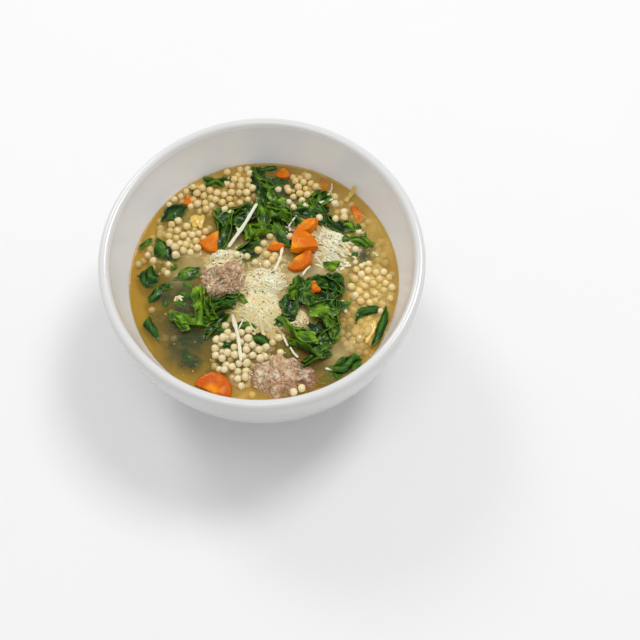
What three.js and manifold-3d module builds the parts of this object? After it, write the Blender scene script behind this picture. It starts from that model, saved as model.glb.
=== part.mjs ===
// A round white diner bowl of Italian wedding soup: golden broth with meatballs, pearl pasta, wilted spinach,
// cut carrots, onion and grated cheese. Sizes are in millimetres and +Z is up. The origin is the centre of the
// foot's underside, and the front of the bowl faces -Y.
import * as THREE from "three";
import { mergeVertices } from "three/addons/utils/BufferGeometryUtils.js";
import Module from "manifold-3d";

const wasm = await Module();
wasm.setup();

// The bowl
const RIM_RADIUS = 80;
const LIP_THICKNESS = 5.5;
const BOWL_HEIGHT = 75;
const OUTER_DEPTH = 86; // depth at which the outer curve would close on the axis
const INNER_DEPTH = 65.5; // depth of the hollow below the middle of the lip
const INNER_SPREAD = 0.57; // the wall stays wide until low down, fuller than an ellipse at 1
const INNER_FALL = 1.54;
const FOOT_RADIUS = 43;
const FOOT_WIDTH = 6;
const FOOT_HEIGHT = 3.5;
const FOOT_RECESS = 2.2;
const BOWL_SEGMENTS = 36;

// The soup
const BROTH_DROP = 27.3; // from the top of the rim down to the broth
const GAP = 0.3; // clearance between separate pieces
const AFLOAT = 0.36; // height above the broth of what lies on it
const PEARL_RADIUS = 2.2;
const LEAF_THICKNESS = 0.8;
const SHRED_THICKNESS = 0.9;
const LENS_SEGMENTS = 12;

const LIP_RADIUS = LIP_THICKNESS / 2;
const LIP_Z = BOWL_HEIGHT - LIP_RADIUS;
const INNER_RIM = RIM_RADIUS - LIP_THICKNESS;
const LEVEL = BOWL_HEIGHT - BROTH_DROP;
const LEVEL_ANGLE = Math.asin(((LIP_Z - LEVEL) / INNER_DEPTH) ** (1 / INNER_FALL));
const FOOT_ANGLE = Math.asin((LIP_Z - FOOT_HEIGHT) / OUTER_DEPTH);
const DEGREE = Math.PI / 180;

const COLOURS = {
  china: { color: 0xf1f0ec, roughness: 0.2 },
  broth: { color: 0xb98a2f, roughness: 0.15 },
  meat: { color: 0xa98573, roughness: 0.7 },
  carrot: { color: 0xe8701a, roughness: 0.4 },
  spinach: { color: 0x1f5a17, roughness: 0.35 },
  pasta: { color: 0xe6dcae, roughness: 0.4 },
  cheese: { color: 0xece3bf, roughness: 0.6 },
  onion: { color: 0xd9b03a, roughness: 0.3 },
};

// Every piece below is placed on the soup: x to the right, y away from the viewer, z above the broth.
const MEATBALLS = [
  { name: "meatball_left", at: [-21, 0.6, -3], radii: [12, 10.4, 10.4], seed: 11 },
  { name: "meatball_front", at: [10.5, -53, -2.4], radii: [15.6, 10.6, 9.4], seed: 23 },
];

const CARROT_BEVEL = 0.5;
const CARROT_ARCS = 5;

// A carrot piece is a sector of a thick slice. It is tilted about x and y, then turned about z, in degrees.
const CARROTS = [
  { name: "carrot_back", at: [21.9, 30.6, 1.6], radius: 5.8, sweep: 165, thick: 5, tilt: [14, -8], turn: -70 },
  { name: "carrot_middle", at: [17.8, 19, 2.2], radius: 14, sweep: 74, thick: 5, tilt: [-10, 4], turn: 41 },
  { name: "carrot_front", at: [19.2, 9.6, 0.2], radius: 7.5, sweep: 170, thick: 5.5, tilt: [8, -8], turn: -50 },
  { name: "carrot_left", at: [-26.5, 22.6, 0.2], radius: 12, sweep: 52, thick: 6, tilt: [-12, 6], turn: -118 },
  { name: "carrot_centre", at: [5.6, 18.6, 0.6], radius: 5.6, sweep: 112, thick: 5, tilt: [10, 8], turn: -80 },
  { name: "carrot_rim", at: [-22.7, -56.6, -0.8], radius: 9.5, sweep: 176, thick: 6, tilt: [-4, -10], turn: 68 },
  { name: "carrot_back_left", at: [-40.4, 46.8, -0.7], radius: 6, sweep: 56, thick: 4.5, tilt: [-8, 6], turn: -80 },
  { name: "carrot_far", at: [9, 62.6, -1.4], radius: 6.5, sweep: 76, thick: 5, tilt: [6, -4], turn: -95 },
  { name: "carrot_crumb", at: [26, -4.9, 6.4], radius: 7.6, sweep: 42, thick: 3, tilt: [6, 10], turn: -90 },
];

// A leaf's turn is the way its midrib runs, and bend how far the midrib curves in plan, both in degrees.
// Pleats run along the midrib, rise is their height, and lift is how far the whole leaf lies above the broth.
const CLUMPS = [
  {
    name: "spinach_back",
    cores: [
      { at: [-15, 32], radii: [8, 8] },
      { at: [3, 36], radii: [11, 8] },
    ],
    leaves: [
      { at: [-2.5, 55], length: 22, width: 8, turn: -66, bend: 10, lift: 0.4, rise: 2.2, pleats: 2, phase: 0.4 },
      { at: [-21, 29], length: 22, width: 9, turn: -82, bend: -40, lift: 0.4, rise: 3, pleats: 2, phase: 1.9 },
      { at: [-13.5, 36], length: 17, width: 11, turn: 12, bend: 30, lift: 1.4, rise: 2.2, pleats: 2, phase: 3.1 },
      { at: [-2, 39], length: 15, width: 6, turn: -72, bend: 12, lift: 2.6, rise: 1.6, pleats: 1, phase: 0.9 },
      { at: [-3, 27.5], length: 13, width: 10, turn: 20, bend: -20, lift: 1.2, rise: 2.2, pleats: 2, phase: 4.4 },
      { at: [-9.5, 16.5], length: 16, width: 9, turn: 24, bend: 26, lift: 0.5, rise: 2.4, pleats: 2, phase: 2.2 },
      { at: [8, 37], length: 18, width: 10, turn: -28, bend: -50, lift: 1.6, rise: 2.8, pleats: 2, phase: 5.2 },
      { at: [9, 26.5], length: 20, width: 7, turn: -66, bend: 20, lift: 0.5, rise: 2.4, pleats: 1, phase: 1.1 },
      { at: [5, 46], length: 11, width: 5, turn: -52, bend: 10, lift: 0.8, rise: 1.8, pleats: 1, phase: 2.9 },
    ],
  },
  {
    name: "spinach_right",
    cores: [
      { at: [29, -11], radii: [12, 13] },
      { at: [27, -29], radii: [11, 10] },
    ],
    leaves: [
      { at: [17.5, -9.5], length: 23, width: 13, turn: -128, bend: 14, lift: 0.6, rise: 3.4, pleats: 3, phase: 0.2 },
      { at: [32, -2.5], length: 20, width: 10, turn: -8, bend: -34, lift: 1.8, rise: 3, pleats: 2, phase: 1.4 },
      { at: [38.5, -7], length: 18, width: 10, turn: -100, bend: -30, lift: 1.4, rise: 3.2, pleats: 2, phase: 2.7 },
      { at: [30, -17], length: 19, width: 12, turn: -24, bend: 30, lift: 3, rise: 2.6, pleats: 2, phase: 3.9 },
      { at: [18, -28.5], length: 19, width: 7, turn: -20, bend: 16, lift: 1.8, rise: 2, pleats: 1, phase: 5.1 },
      { at: [33.5, -28], length: 17, width: 13, turn: -70, bend: -26, lift: 1.8, rise: 3.2, pleats: 2, phase: 0.8 },
      { at: [23.5, -36.5], length: 18, width: 10, turn: 6, bend: -24, lift: 0.8, rise: 3, pleats: 2, phase: 2.4 },
      { at: [26.5, -43.5], length: 15, width: 6.5, turn: -152, bend: 24, lift: 0.4, rise: 2.4, pleats: 1, phase: 3.3 },
      { at: [10, -22.5], length: 11, width: 5.5, turn: 16, bend: 20, lift: 1, rise: 1.6, pleats: 1, phase: 4.6 },
    ],
  },
  {
    name: "spinach_left",
    cores: [{ at: [-27, -17], radii: [6, 6] }],
    leaves: [
      { at: [-31, -15.5], length: 21, width: 6.5, turn: -92, bend: 12, lift: 1.8, rise: 2.4, pleats: 1, phase: 0.3 },
      { at: [-39.5, -24.5], length: 17, width: 6, turn: 182, bend: -18, lift: 0.6, rise: 2, pleats: 1, phase: 1.7 },
      { at: [-22, -15.5], length: 16, width: 11, turn: 8, bend: -22, lift: 1, rise: 2.8, pleats: 2, phase: 2.6 },
      { at: [-23.5, -27], length: 15, width: 6, turn: -132, bend: 10, lift: 0.4, rise: 1.6, pleats: 1, phase: 4.1 },
    ],
  },
  {
    name: "spinach_back_right",
    cores: [{ at: [30, 40.5], radii: [6, 4] }],
    leaves: [
      { at: [28, 46.5], length: 13, width: 8, turn: 40, bend: 40, lift: 0.8, rise: 2.6, pleats: 2, phase: 0.7 },
      { at: [31.5, 37], length: 25, width: 7.5, turn: -30, bend: -8, lift: 0.6, rise: 2.4, pleats: 1, phase: 1.9 },
      { at: [18.5, 41], length: 10, width: 5, turn: 30, bend: 20, lift: 1, rise: 1.8, pleats: 1, phase: 3.7 },
    ],
  },
];

const LEAVES = [
  { name: "leaf_back_left", at: [-27.5, 56], length: 12, width: 7, turn: -12, bend: 20, lift: 0, rise: 2.2, pleats: 2, phase: 0.5 },
  { name: "leaf_left_upper", at: [-47, 37.5], length: 17, width: 10, turn: 38, bend: -16, lift: 0, rise: 1.5, pleats: 1, phase: 1.3 },
  { name: "leaf_left", at: [-51, 16.5], length: 16, width: 9, turn: -58, bend: 10, lift: 0, rise: 1.6, pleats: 1, phase: 2.1 },
  { name: "leaf_left_rim", at: [-61.2, 20], length: 9, width: 3, turn: 44, bend: 0, lift: 0, rise: 0.8, pleats: 1, phase: 2.9 },
  { name: "leaf_left_dark", at: [-58.3, 2.4], length: 13, width: 9.5, turn: -40, bend: 20, lift: 0, rise: 2.2, pleats: 2, phase: 3.7 },
  { name: "leaf_left_bright", at: [-39.5, 3.5], length: 14, width: 8.5, turn: 22, bend: 12, lift: 0, rise: 1.4, pleats: 1, phase: 4.5 },
  { name: "leaf_left_low", at: [-54, -8.5], length: 11, width: 5, turn: 58, bend: 30, lift: 0, rise: 1.6, pleats: 1, phase: 5.3 },
  { name: "leaf_left_front", at: [-56, -26], length: 13, width: 4.5, turn: -68, bend: 12, lift: 0, rise: 1.4, pleats: 1, phase: 6.1 },
  { name: "leaf_far_rim", at: [2.2, 65], length: 9, width: 3, turn: 10, bend: 6, lift: 0, rise: 0.8, pleats: 1, phase: 0.9 },
  { name: "leaf_right_far", at: [43.5, 31], length: 8, width: 5, turn: -36, bend: 20, lift: 0, rise: 1.6, pleats: 1, phase: 1.7 },
  { name: "leaf_right_back", at: [50, 21.5], length: 14, width: 5.5, turn: -18, bend: -14, lift: 0, rise: 1.6, pleats: 2, phase: 2.5 },
  { name: "leaf_right_small", at: [41, 23.2], length: 6.5, width: 3.8, turn: 10, bend: 10, lift: 0, rise: 1, pleats: 1, phase: 1.2 },
  { name: "leaf_by_carrots", at: [35, 8.6], length: 10, width: 6.5, turn: 14, bend: 20, lift: 1, rise: 1.8, pleats: 1, phase: 3.3 },
  { name: "leaf_right_arch", at: [51.5, -18], length: 15, width: 5, turn: 20, bend: -110, lift: 0.2, rise: 2, pleats: 1, phase: 4.1 },
  { name: "leaf_right_wall", at: [58.6, -26.6], length: 24, width: 5, turn: -112, bend: -26, lift: 0, rise: 2.2, pleats: 1, phase: 4.9 },
  { name: "leaf_front_right", at: [41.5, -45], length: 16, width: 9, turn: 24, bend: -24, lift: 0, rise: 2.6, pleats: 2, phase: 5.7 },
  { name: "leaf_front_far", at: [-9.5, -26], length: 11, width: 6, turn: -14, bend: -60, lift: 0, rise: 1.8, pleats: 1, phase: 0.1 },
  { name: "leaf_front_mid", at: [-1, -33.4], length: 11, width: 6, turn: -34, bend: 20, lift: 0, rise: 1.8, pleats: 1, phase: 0.9 },
  { name: "leaf_front_strip", at: [-17, -35.8], length: 9, width: 3, turn: 4, bend: 0, lift: 0, rise: 0.8, pleats: 1, phase: 1.7 },
  { name: "leaf_by_meatball", at: [-10, -11.8], length: 9, width: 2.6, turn: -56, bend: 10, lift: 1.4, rise: 0.8, pleats: 1, phase: 2.5 },
];

// A heap of grated cheese is a low dome with shreds fused to it.
const CHEESE_HEAPS = [
  {
    name: "cheese_middle",
    domes: [
      { at: [0, -2], radii: [11.5, 8.5], height: 4.2 },
      { at: [-1, -16], radii: [10.5, 11.5], height: 4 },
    ],
    shreds: 10,
    seed: 5,
  },
  { name: "cheese_by_meatball", domes: [{ at: [-18.5, 13.2], radii: [9, 4.2], height: 3.4 }], shreds: 4, seed: 17 },
  { name: "cheese_by_carrots", domes: [{ at: [34.5, 20.5], radii: [7, 9], height: 3 }], shreds: 5, seed: 29 },
];

// Long single shreds, from one end to the other, with the height of each end above the broth.
const SHREDS = [
  { name: "shred_back", from: [-4.2, 40.5, 6.4], to: [-18.2, 17, 3.6], width: 1.9, sag: -0.6 },
  { name: "shred_front", from: [-15.2, -21, 3.4], to: [-10.3, -46, 4.2], width: 1.9, sag: -0.6 },
  { name: "shred_centre", from: [9.3, 17.5, 3], to: [5.2, 3, 4.6], width: 1.5, sag: 0.3 },
];

// Onion: a flat piece afloat, and a strip that leans out of the broth on the bowl's wall.
const ONIONS = [
  { name: "onion_piece", path: [[-38, 32.5, 0.9], [-35, 33.4, 1.5], [-31.5, 32.8, 0.9]], width: 5.5, thick: 1.2 },
  { name: "onion_strip_wall", path: [[41.5, 45, 0.5], [44.4, 48.4, 2], [46.3, 50.6, 6.2]], width: 2.6, thick: 0.9 },
  { name: "onion_strip_right", path: [[51, -35, 0.8], [54.6, -29, 1.1], [55.6, -23.5, 0.8]], width: 1.8, thick: 0.8 },
];

// Heaps of pearls lie in the broth.
const PASTA_HEAPS = [
  { name: "pasta_back_left", at: [-24, 48.5], radii: [19, 9.5], turn: 8, seed: 101 },
  { name: "pasta_far_rim", at: [-13, 61], radii: [9, 4.6], turn: 6, seed: 131 },
  { name: "pasta_left", at: [-39.5, 24], radii: [11.5, 10], turn: -40, seed: 151 },
  { name: "pasta_front", at: [-10.5, -43], radii: [14, 15.5], turn: 10, seed: 171 },
  { name: "pasta_back_right", at: [19.5, 54], radii: [9.5, 8.5], turn: -35, seed: 191 },
  { name: "pasta_right", at: [54.2, -4], radii: [10.8, 13.5], turn: 12, seed: 211 },
  { name: "pasta_centre", at: [1, 14], radii: [5.4, 4.6], turn: 0, seed: 231 },
];
const PEARL_SPACE = 29; // area of a heap in plan for each of its pearls, in square millimetres
const PEARL_LIFT = 0.8; // how much higher than the heap's core a pearl's centre may lie
const PEARL_SIDES = 5;
const PEARL_SHOULDER = 0.55; // angle of the pearl's upper row of corners, in radians
const HEAP_DEPTH = 4; // depth of a heap's core below the broth
const HEAP_RISE = 1.1; // height of a heap's core above the broth

// Single pearls afloat, fused to the broth.
const LOOSE_PEARLS = [
  [-58, 12], [-48, 8.5], [28, 35.5], [40, 38], [35.5, 48.5], [36, 43.5], [55, 15], [48, 28], [6.5, 52.5], [48, -28],
];

// A repeatable draw between 0 and 1.
function drawsFrom(seed) {
  let state = seed;
  return () => {
    state = (state * 16807) % 2147483647;
    return state / 2147483647;
  };
}

// A closed three.js geometry as a solid that can be joined and cut.
function toSolid(geometry) {
  const bare = geometry.clone();
  bare.deleteAttribute("normal");
  bare.deleteAttribute("uv");
  const merged = mergeVertices(bare, 1e-4);
  const made = new wasm.Manifold(
    new wasm.Mesh({
      numProp: 3,
      vertProperties: new Float32Array(merged.attributes.position.array),
      triVerts: new Uint32Array(merged.index.array),
    }),
  );
  if (made.volume() > 0) return made;
  throw new Error("a shape is inside out");
}

// A solid as a named mesh. Its geometry is stored around the anchor, where the mesh is placed.
function toMesh(name, solid, material, anchor = [0, 0, 0]) {
  const cut = solid.getMesh();
  const positions = new Float32Array(cut.numVert * 3);
  for (let i = 0; i < cut.numVert; i++) {
    for (let axis = 0; axis < 3; axis++) {
      positions[3 * i + axis] = cut.vertProperties[cut.numProp * i + axis] - anchor[axis];
    }
  }
  const geometry = new THREE.BufferGeometry();
  geometry.setAttribute("position", new THREE.BufferAttribute(positions, 3));
  geometry.setIndex(new THREE.BufferAttribute(cut.triVerts, 1));
  geometry.computeVertexNormals();
  const mesh = new THREE.Mesh(geometry, new THREE.MeshStandardMaterial({ metalness: 0, ...material }));
  mesh.name = name;
  mesh.position.set(...anchor);
  return mesh;
}

function joined(solids) {
  return solids.reduce((whole, next) => whole.add(next));
}

// The largest body of a solid, so that scraps left by a cut are dropped.
function largestBody(solid) {
  const bodies = solid.decompose();
  return bodies.reduce((best, next) => (next.volume() > best.volume() ? next : best));
}

function boxesMeet(a, b) {
  const p = a.boundingBox();
  const q = b.boundingBox();
  return [0, 1, 2].every((axis) => p.min[axis] < q.max[axis] && q.min[axis] < p.max[axis]);
}

// A point of the bowl's inside, at an angle down from the middle of the lip.
function innerPoint(angle) {
  const radius = INNER_RIM * Math.max(Math.cos(angle), 0) ** INNER_SPREAD;
  return [angle < Math.PI / 2 ? radius : 0, LIP_Z - INNER_DEPTH * Math.sin(angle) ** INNER_FALL];
}

// Angles down the inner wall: the bare part above the broth, then the wetted part down to the axis.
const BARE_ANGLES = [0.34, 0.67].map((share) => share * LEVEL_ANGLE);
const WET_ANGLES = [0, 0.25, 0.5, 0.75, 0.92, 1].map((share) => LEVEL_ANGLE + share * (Math.PI / 2 - LEVEL_ANGLE));

// A closed profile of [radius, height] points turned about the z axis.
function turned(profile, segments) {
  const points = profile.map(([radius, height]) => new THREE.Vector2(radius, height));
  const geometry = new THREE.LatheGeometry(points, segments);
  geometry.rotateX(Math.PI / 2);
  return toSolid(geometry);
}

function bowl() {
  const footInside = FOOT_RADIUS - FOOT_WIDTH;
  const profile = [
    [0, FOOT_RECESS],
    [footInside - 1.5, FOOT_RECESS],
    [footInside, 0],
    [FOOT_RADIUS - 1, 0],
    [FOOT_RADIUS, 1],
    [FOOT_RADIUS, FOOT_HEIGHT],
  ];
  for (const share of [1, 0.75, 0.5, 0.25, 0]) {
    const angle = share * FOOT_ANGLE;
    profile.push([RIM_RADIUS * Math.cos(angle), LIP_Z - OUTER_DEPTH * Math.sin(angle)]);
  }
  for (const turn of [50, 90, 130, 180]) {
    const across = RIM_RADIUS - LIP_RADIUS + LIP_RADIUS * Math.cos(turn * DEGREE);
    profile.push([across, LIP_Z + LIP_RADIUS * Math.sin(turn * DEGREE)]);
  }
  for (const angle of [...BARE_ANGLES, ...WET_ANGLES]) profile.push(innerPoint(angle));
  return turned(profile, BOWL_SEGMENTS);
}

// The space inside the bowl, clear of its wall, up to the last of the angles given. The broth's surface is at 0.
function hollow(angles) {
  const wall = [...angles].reverse().map((angle) => {
    const [radius, z] = innerPoint(angle);
    return [Math.max(radius - GAP, 0), z - LEVEL + GAP];
  });
  const top = wall.at(-1);
  top[1] -= GAP;
  return turned([...wall, [0, top[1]]], BOWL_SEGMENTS);
}

// A lens or dome: an ellipse in plan that rises by up and goes down by down from its widest line.
function lens({ at, radii, turn = 0, base = 0 }, up, down, grow = 0) {
  const points = [-90, -45, 0, 45, 90].map((angle) => {
    const height = (angle < 0 ? down : up) + grow;
    const radius = Math.abs(angle) === 90 ? 0 : Math.cos(angle * DEGREE);
    return new THREE.Vector2(radius, height * Math.sin(angle * DEGREE));
  });
  const geometry = new THREE.LatheGeometry(points, LENS_SEGMENTS);
  geometry.rotateX(Math.PI / 2);
  geometry.scale(radii[0] + grow, radii[1] + grow, 1);
  geometry.rotateZ(turn * DEGREE);
  geometry.translate(at[0], at[1], base);
  return toSolid(geometry);
}

const MEAT_RELIEF = 0.026; // of the ball's radius, for each of its waves

// Ground meat: a ball with crumbs and pits all over it.
function meatball({ at, radii, seed }, grow = 0) {
  const draw = drawsFrom(seed);
  const waves = Array.from({ length: 14 }, () => {
    const way = new THREE.Vector3(draw() - 0.5, draw() - 0.5, draw() - 0.5).normalize();
    return { way: way.multiplyScalar(3 + 8 * draw()), phase: draw() * 2 * Math.PI };
  });
  const ball = new THREE.IcosahedronGeometry(1, 4);
  ball.deleteAttribute("normal");
  ball.deleteAttribute("uv");
  const geometry = mergeVertices(ball, 1e-4);
  const places = geometry.attributes.position;
  const point = new THREE.Vector3();
  for (let i = 0; i < places.count; i++) {
    point.fromBufferAttribute(places, i);
    const relief = waves.reduce((sum, wave) => sum + Math.sin(wave.way.dot(point) + wave.phase), 0);
    const scale = 1 + MEAT_RELIEF * relief;
    places.setXYZ(
      i,
      at[0] + point.x * (radii[0] * scale + grow),
      at[1] + point.y * (radii[1] * scale + grow),
      at[2] + point.z * (radii[2] * scale + grow),
    );
  }
  return toSolid(geometry);
}

// A sector of a thick carrot slice with softened edges, centred on its own middle.
function carrot({ at, radius, sweep, thick, tilt, turn }, grow = 0) {
  const half = (sweep / 2) * DEGREE;
  const point = -0.45 * radius;
  const outline = new THREE.Shape();
  outline.moveTo(point, 0);
  for (let i = 0; i <= CARROT_ARCS; i++) {
    const angle = -half + (i / CARROT_ARCS) * 2 * half;
    outline.lineTo(point + radius * Math.cos(angle), radius * Math.sin(angle));
  }
  outline.closePath();
  const depth = thick - 2 * CARROT_BEVEL;
  const geometry = new THREE.ExtrudeGeometry(outline, {
    depth,
    bevelEnabled: true,
    bevelThickness: CARROT_BEVEL + grow,
    bevelSize: CARROT_BEVEL + grow,
    bevelOffset: -CARROT_BEVEL,
    bevelSegments: 1,
  });
  geometry.translate(0, 0, -depth / 2);
  geometry.rotateX(tilt[0] * DEGREE);
  geometry.rotateY(tilt[1] * DEGREE);
  geometry.rotateZ(turn * DEGREE);
  geometry.translate(...at);
  return toSolid(geometry);
}

// Height of a leaf above its lowest lie, for u along the midrib from 0 to 1 and v across from -1 to 1.
function leafHeight({ rise, pleats, phase, lift }, u, v) {
  const wander = 0.45 * Math.sin(2 * Math.PI * u + phase);
  const pleat = 0.5 + 0.5 * Math.cos(Math.PI * pleats * (v + wander) + phase);
  const along = 0.75 + 0.25 * Math.cos(3 * Math.PI * u + 2 * phase);
  const edge = 1 - 0.35 * v * v;
  return lift + rise * pleat * along * edge;
}

// The plan position of a leaf's midrib and the way it runs, at u along it.
function midrib({ at, length, turn, bend }, u) {
  const steps = 8;
  const middle = { x: 0, y: 0 };
  const step = ((u - 0.5) * length) / steps;
  for (let i = 0; i < steps; i++) {
    const way = (turn + bend * (u - 0.5) * ((i + 0.5) / steps)) * DEGREE;
    middle.x += step * Math.cos(way);
    middle.y += step * Math.sin(way);
  }
  const way = (turn + bend * (u - 0.5)) * DEGREE;
  return { x: at[0] + middle.x, y: at[1] + middle.y, way };
}

// A thin wavy leaf with both faces split alike.
function leaf(spec, grow = 0) {
  const across = spec.width > 10 ? 3 : 2;
  const along = Math.max(3, Math.round(spec.length / 5));
  const longer = { ...spec, length: spec.length + 2 * grow };
  const half = LEAF_THICKNESS / 2 + grow;
  const positions = [];
  for (const side of [half, -half]) {
    for (let i = 0; i <= along; i++) {
      const u = i / along;
      const rib = midrib(longer, u);
      const halfWidth = (spec.width / 2) * Math.sin(Math.PI * (0.07 + 0.86 * u)) ** 0.55 + grow;
      for (let j = 0; j <= across; j++) {
        const v = -1 + (2 * j) / across;
        const offset = v * halfWidth;
        positions.push(
          rib.x - offset * Math.sin(rib.way),
          rib.y + offset * Math.cos(rib.way),
          AFLOAT + LEAF_THICKNESS / 2 + leafHeight(spec, u, v) + side,
        );
      }
    }
  }
  const row = across + 1;
  const sheet = (along + 1) * row;
  const index = [];
  for (let i = 0; i < along; i++) {
    for (let j = 0; j < across; j++) {
      const a = i * row + j;
      const b = a + row;
      index.push(a, b, a + 1, b, b + 1, a + 1);
      index.push(sheet + a, sheet + a + 1, sheet + b, sheet + b, sheet + a + 1, sheet + b + 1);
    }
  }
  const rim = [];
  for (let j = 0; j < across; j++) rim.push(j);
  for (let i = 0; i < along; i++) rim.push(i * row + across);
  for (let j = across; j > 0; j--) rim.push(along * row + j);
  for (let i = along; i > 0; i--) rim.push(i * row);
  rim.forEach((a, k) => {
    const b = rim[(k + 1) % rim.length];
    index.push(a, b, sheet + a, b, sheet + b, sheet + a);
  });
  const geometry = new THREE.BufferGeometry();
  geometry.setAttribute("position", new THREE.Float32BufferAttribute(positions, 3));
  geometry.setIndex(index);
  return toSolid(geometry);
}

const CORE_RISE = 3.4;

// A clump of wilted leaves, joined by a low core under them.
function clump({ cores, leaves }, grow = 0) {
  const middles = cores.map((core) => lens({ ...core, base: AFLOAT }, CORE_RISE, 0, grow));
  return joined([...middles, ...leaves.map((spec) => leaf(spec, grow))]);
}

// A flat strip along a path, as wide as width in plan.
function strip(path, width, thick, grow = 0, rows = 5) {
  const points = path.map((p) => new THREE.Vector3(...p));
  const first = points[0].clone().sub(points[1]).setLength(grow);
  const last = points.at(-1).clone().sub(points.at(-2)).setLength(grow);
  if (grow) {
    points[0].add(first);
    points.at(-1).add(last);
  }
  const curve = new THREE.CatmullRomCurve3(points);
  const half = width / 2 + grow;
  const high = thick / 2 + grow;
  const positions = [];
  for (let i = 0; i < rows; i++) {
    const middle = curve.getPoint(i / (rows - 1));
    const way = curve.getTangent(i / (rows - 1));
    const side = new THREE.Vector3(-way.y, way.x, 0).setLength(half);
    const up = new THREE.Vector3().crossVectors(way, side).setLength(high);
    for (const [s, t] of [[-1, -1], [1, -1], [1, 1], [-1, 1]]) {
      const corner = middle.clone().addScaledVector(side, s).addScaledVector(up, t);
      positions.push(corner.x, corner.y, corner.z);
    }
  }
  const index = [0, 2, 1, 0, 3, 2];
  const end = 4 * (rows - 1);
  index.push(end, end + 1, end + 2, end, end + 2, end + 3);
  for (let i = 0; i + 1 < rows; i++) {
    for (let k = 0; k < 4; k++) {
      const a = 4 * i + k;
      const b = 4 * i + ((k + 1) % 4);
      index.push(a, b, a + 4, b, b + 4, a + 4);
    }
  }
  const geometry = new THREE.BufferGeometry();
  geometry.setAttribute("position", new THREE.Float32BufferAttribute(positions, 3));
  geometry.setIndex(index);
  return toSolid(geometry);
}

function shred({ from, to, width, sag }, grow = 0) {
  const middle = from.map((value, axis) => (value + to[axis]) / 2 - (axis === 2 ? sag : 0));
  return strip([from, middle, to], width, SHRED_THICKNESS, grow);
}

// Domes of cheese with short shreds lying over them.
function cheeseHeap({ domes, shreds, seed }, grow = 0) {
  const draw = drawsFrom(seed);
  const parts = domes.map((dome) => lens({ ...dome, base: AFLOAT }, dome.height, 0, grow));
  for (let i = 0; i < shreds; i++) {
    const dome = domes[i % domes.length];
    const reach = Math.sqrt(draw()) * 0.86;
    const around = draw() * 2 * Math.PI;
    const x = dome.at[0] + reach * dome.radii[0] * Math.cos(around);
    const y = dome.at[1] + reach * dome.radii[1] * Math.sin(around);
    const top = AFLOAT + dome.height * Math.sqrt(1 - reach * reach) + 0.25;
    const way = draw() * Math.PI;
    const half = 1.8 + 1.6 * draw();
    const end = (sign) => [x + sign * half * Math.cos(way), y + sign * half * Math.sin(way), top - 0.5];
    parts.push(strip([end(-1), [x, y, top + 0.35], end(1)], 1.2, 0.9, grow, 3));
  }
  return joined(parts);
}

// A pearl of pasta with few sides, cut flat at the height bottom, where it is sunk in what carries it.
function pearl([x, y, z], bottom, grow = 0) {
  const radius = PEARL_RADIUS + grow;
  const drop = bottom - grow - z;
  const points = [
    new THREE.Vector2(0, drop),
    new THREE.Vector2(Math.sqrt(radius ** 2 - drop ** 2), drop),
    new THREE.Vector2(radius * Math.cos(PEARL_SHOULDER), radius * Math.sin(PEARL_SHOULDER)),
    new THREE.Vector2(0, radius),
  ];
  const geometry = new THREE.LatheGeometry(points, PEARL_SIDES);
  geometry.rotateX(Math.PI / 2);
  geometry.rotateZ(x + y);
  geometry.translate(x, y, z);
  return toSolid(geometry);
}

// Places for the pearls of a heap: drawn at random, then pushed apart until they only touch.
function pearlPlaces({ at, radii, turn, seed }) {
  const draw = drawsFrom(seed);
  const pearls = Math.round((Math.PI * radii[0] * radii[1]) / PEARL_SPACE);
  const spread = 2.04 * PEARL_RADIUS;
  const reach = [radii[0] - 0.8 * PEARL_RADIUS, radii[1] - 0.8 * PEARL_RADIUS];
  const places = Array.from({ length: pearls }, () => {
    const out = Math.sqrt(draw());
    const around = draw() * 2 * Math.PI;
    const dome = HEAP_RISE * (1 - out * out);
    return [out * reach[0] * Math.cos(around), out * reach[1] * Math.sin(around), dome + PEARL_LIFT * draw()];
  });
  for (let round = 0; round < 40; round++) {
    for (let i = 0; i < pearls; i++) {
      for (let j = 0; j < i; j++) {
        const [a, b] = [places[i], places[j]];
        const apart = Math.hypot(a[0] - b[0], a[1] - b[1]) + 1e-6;
        if (apart >= spread) continue;
        const push = (0.5 * (spread - apart)) / apart;
        for (const axis of [0, 1]) {
          const shift = (a[axis] - b[axis]) * push;
          a[axis] += shift;
          b[axis] -= shift;
        }
      }
      const out = Math.hypot(places[i][0] / reach[0], places[i][1] / reach[1]);
      if (out > 1) {
        places[i][0] /= out;
        places[i][1] /= out;
      }
    }
  }
  const [cos, sin] = [Math.cos(turn * DEGREE), Math.sin(turn * DEGREE)];
  return places.map(([x, y, z]) => [at[0] + x * cos - y * sin, at[1] + x * sin + y * cos, z]);
}

// Everything in the soup, each piece cut clear of the pieces placed before it.
const placed = [];
const room = hollow([0, ...BARE_ANGLES, ...WET_ANGLES]);
const soup = new THREE.Group();
soup.position.z = LEVEL;

function clearOfOthers(solid) {
  let cut = solid.intersect(room);
  for (const other of placed) {
    if (boxesMeet(cut, other.grown)) cut = cut.subtract(other.grown);
  }
  return largestBody(cut);
}

function place(name, shape, material, at) {
  const solid = clearOfOthers(shape(0));
  placed.push({ grown: shape(GAP) });
  soup.add(toMesh(name, solid, material, [at[0], at[1], 0]));
}

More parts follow.
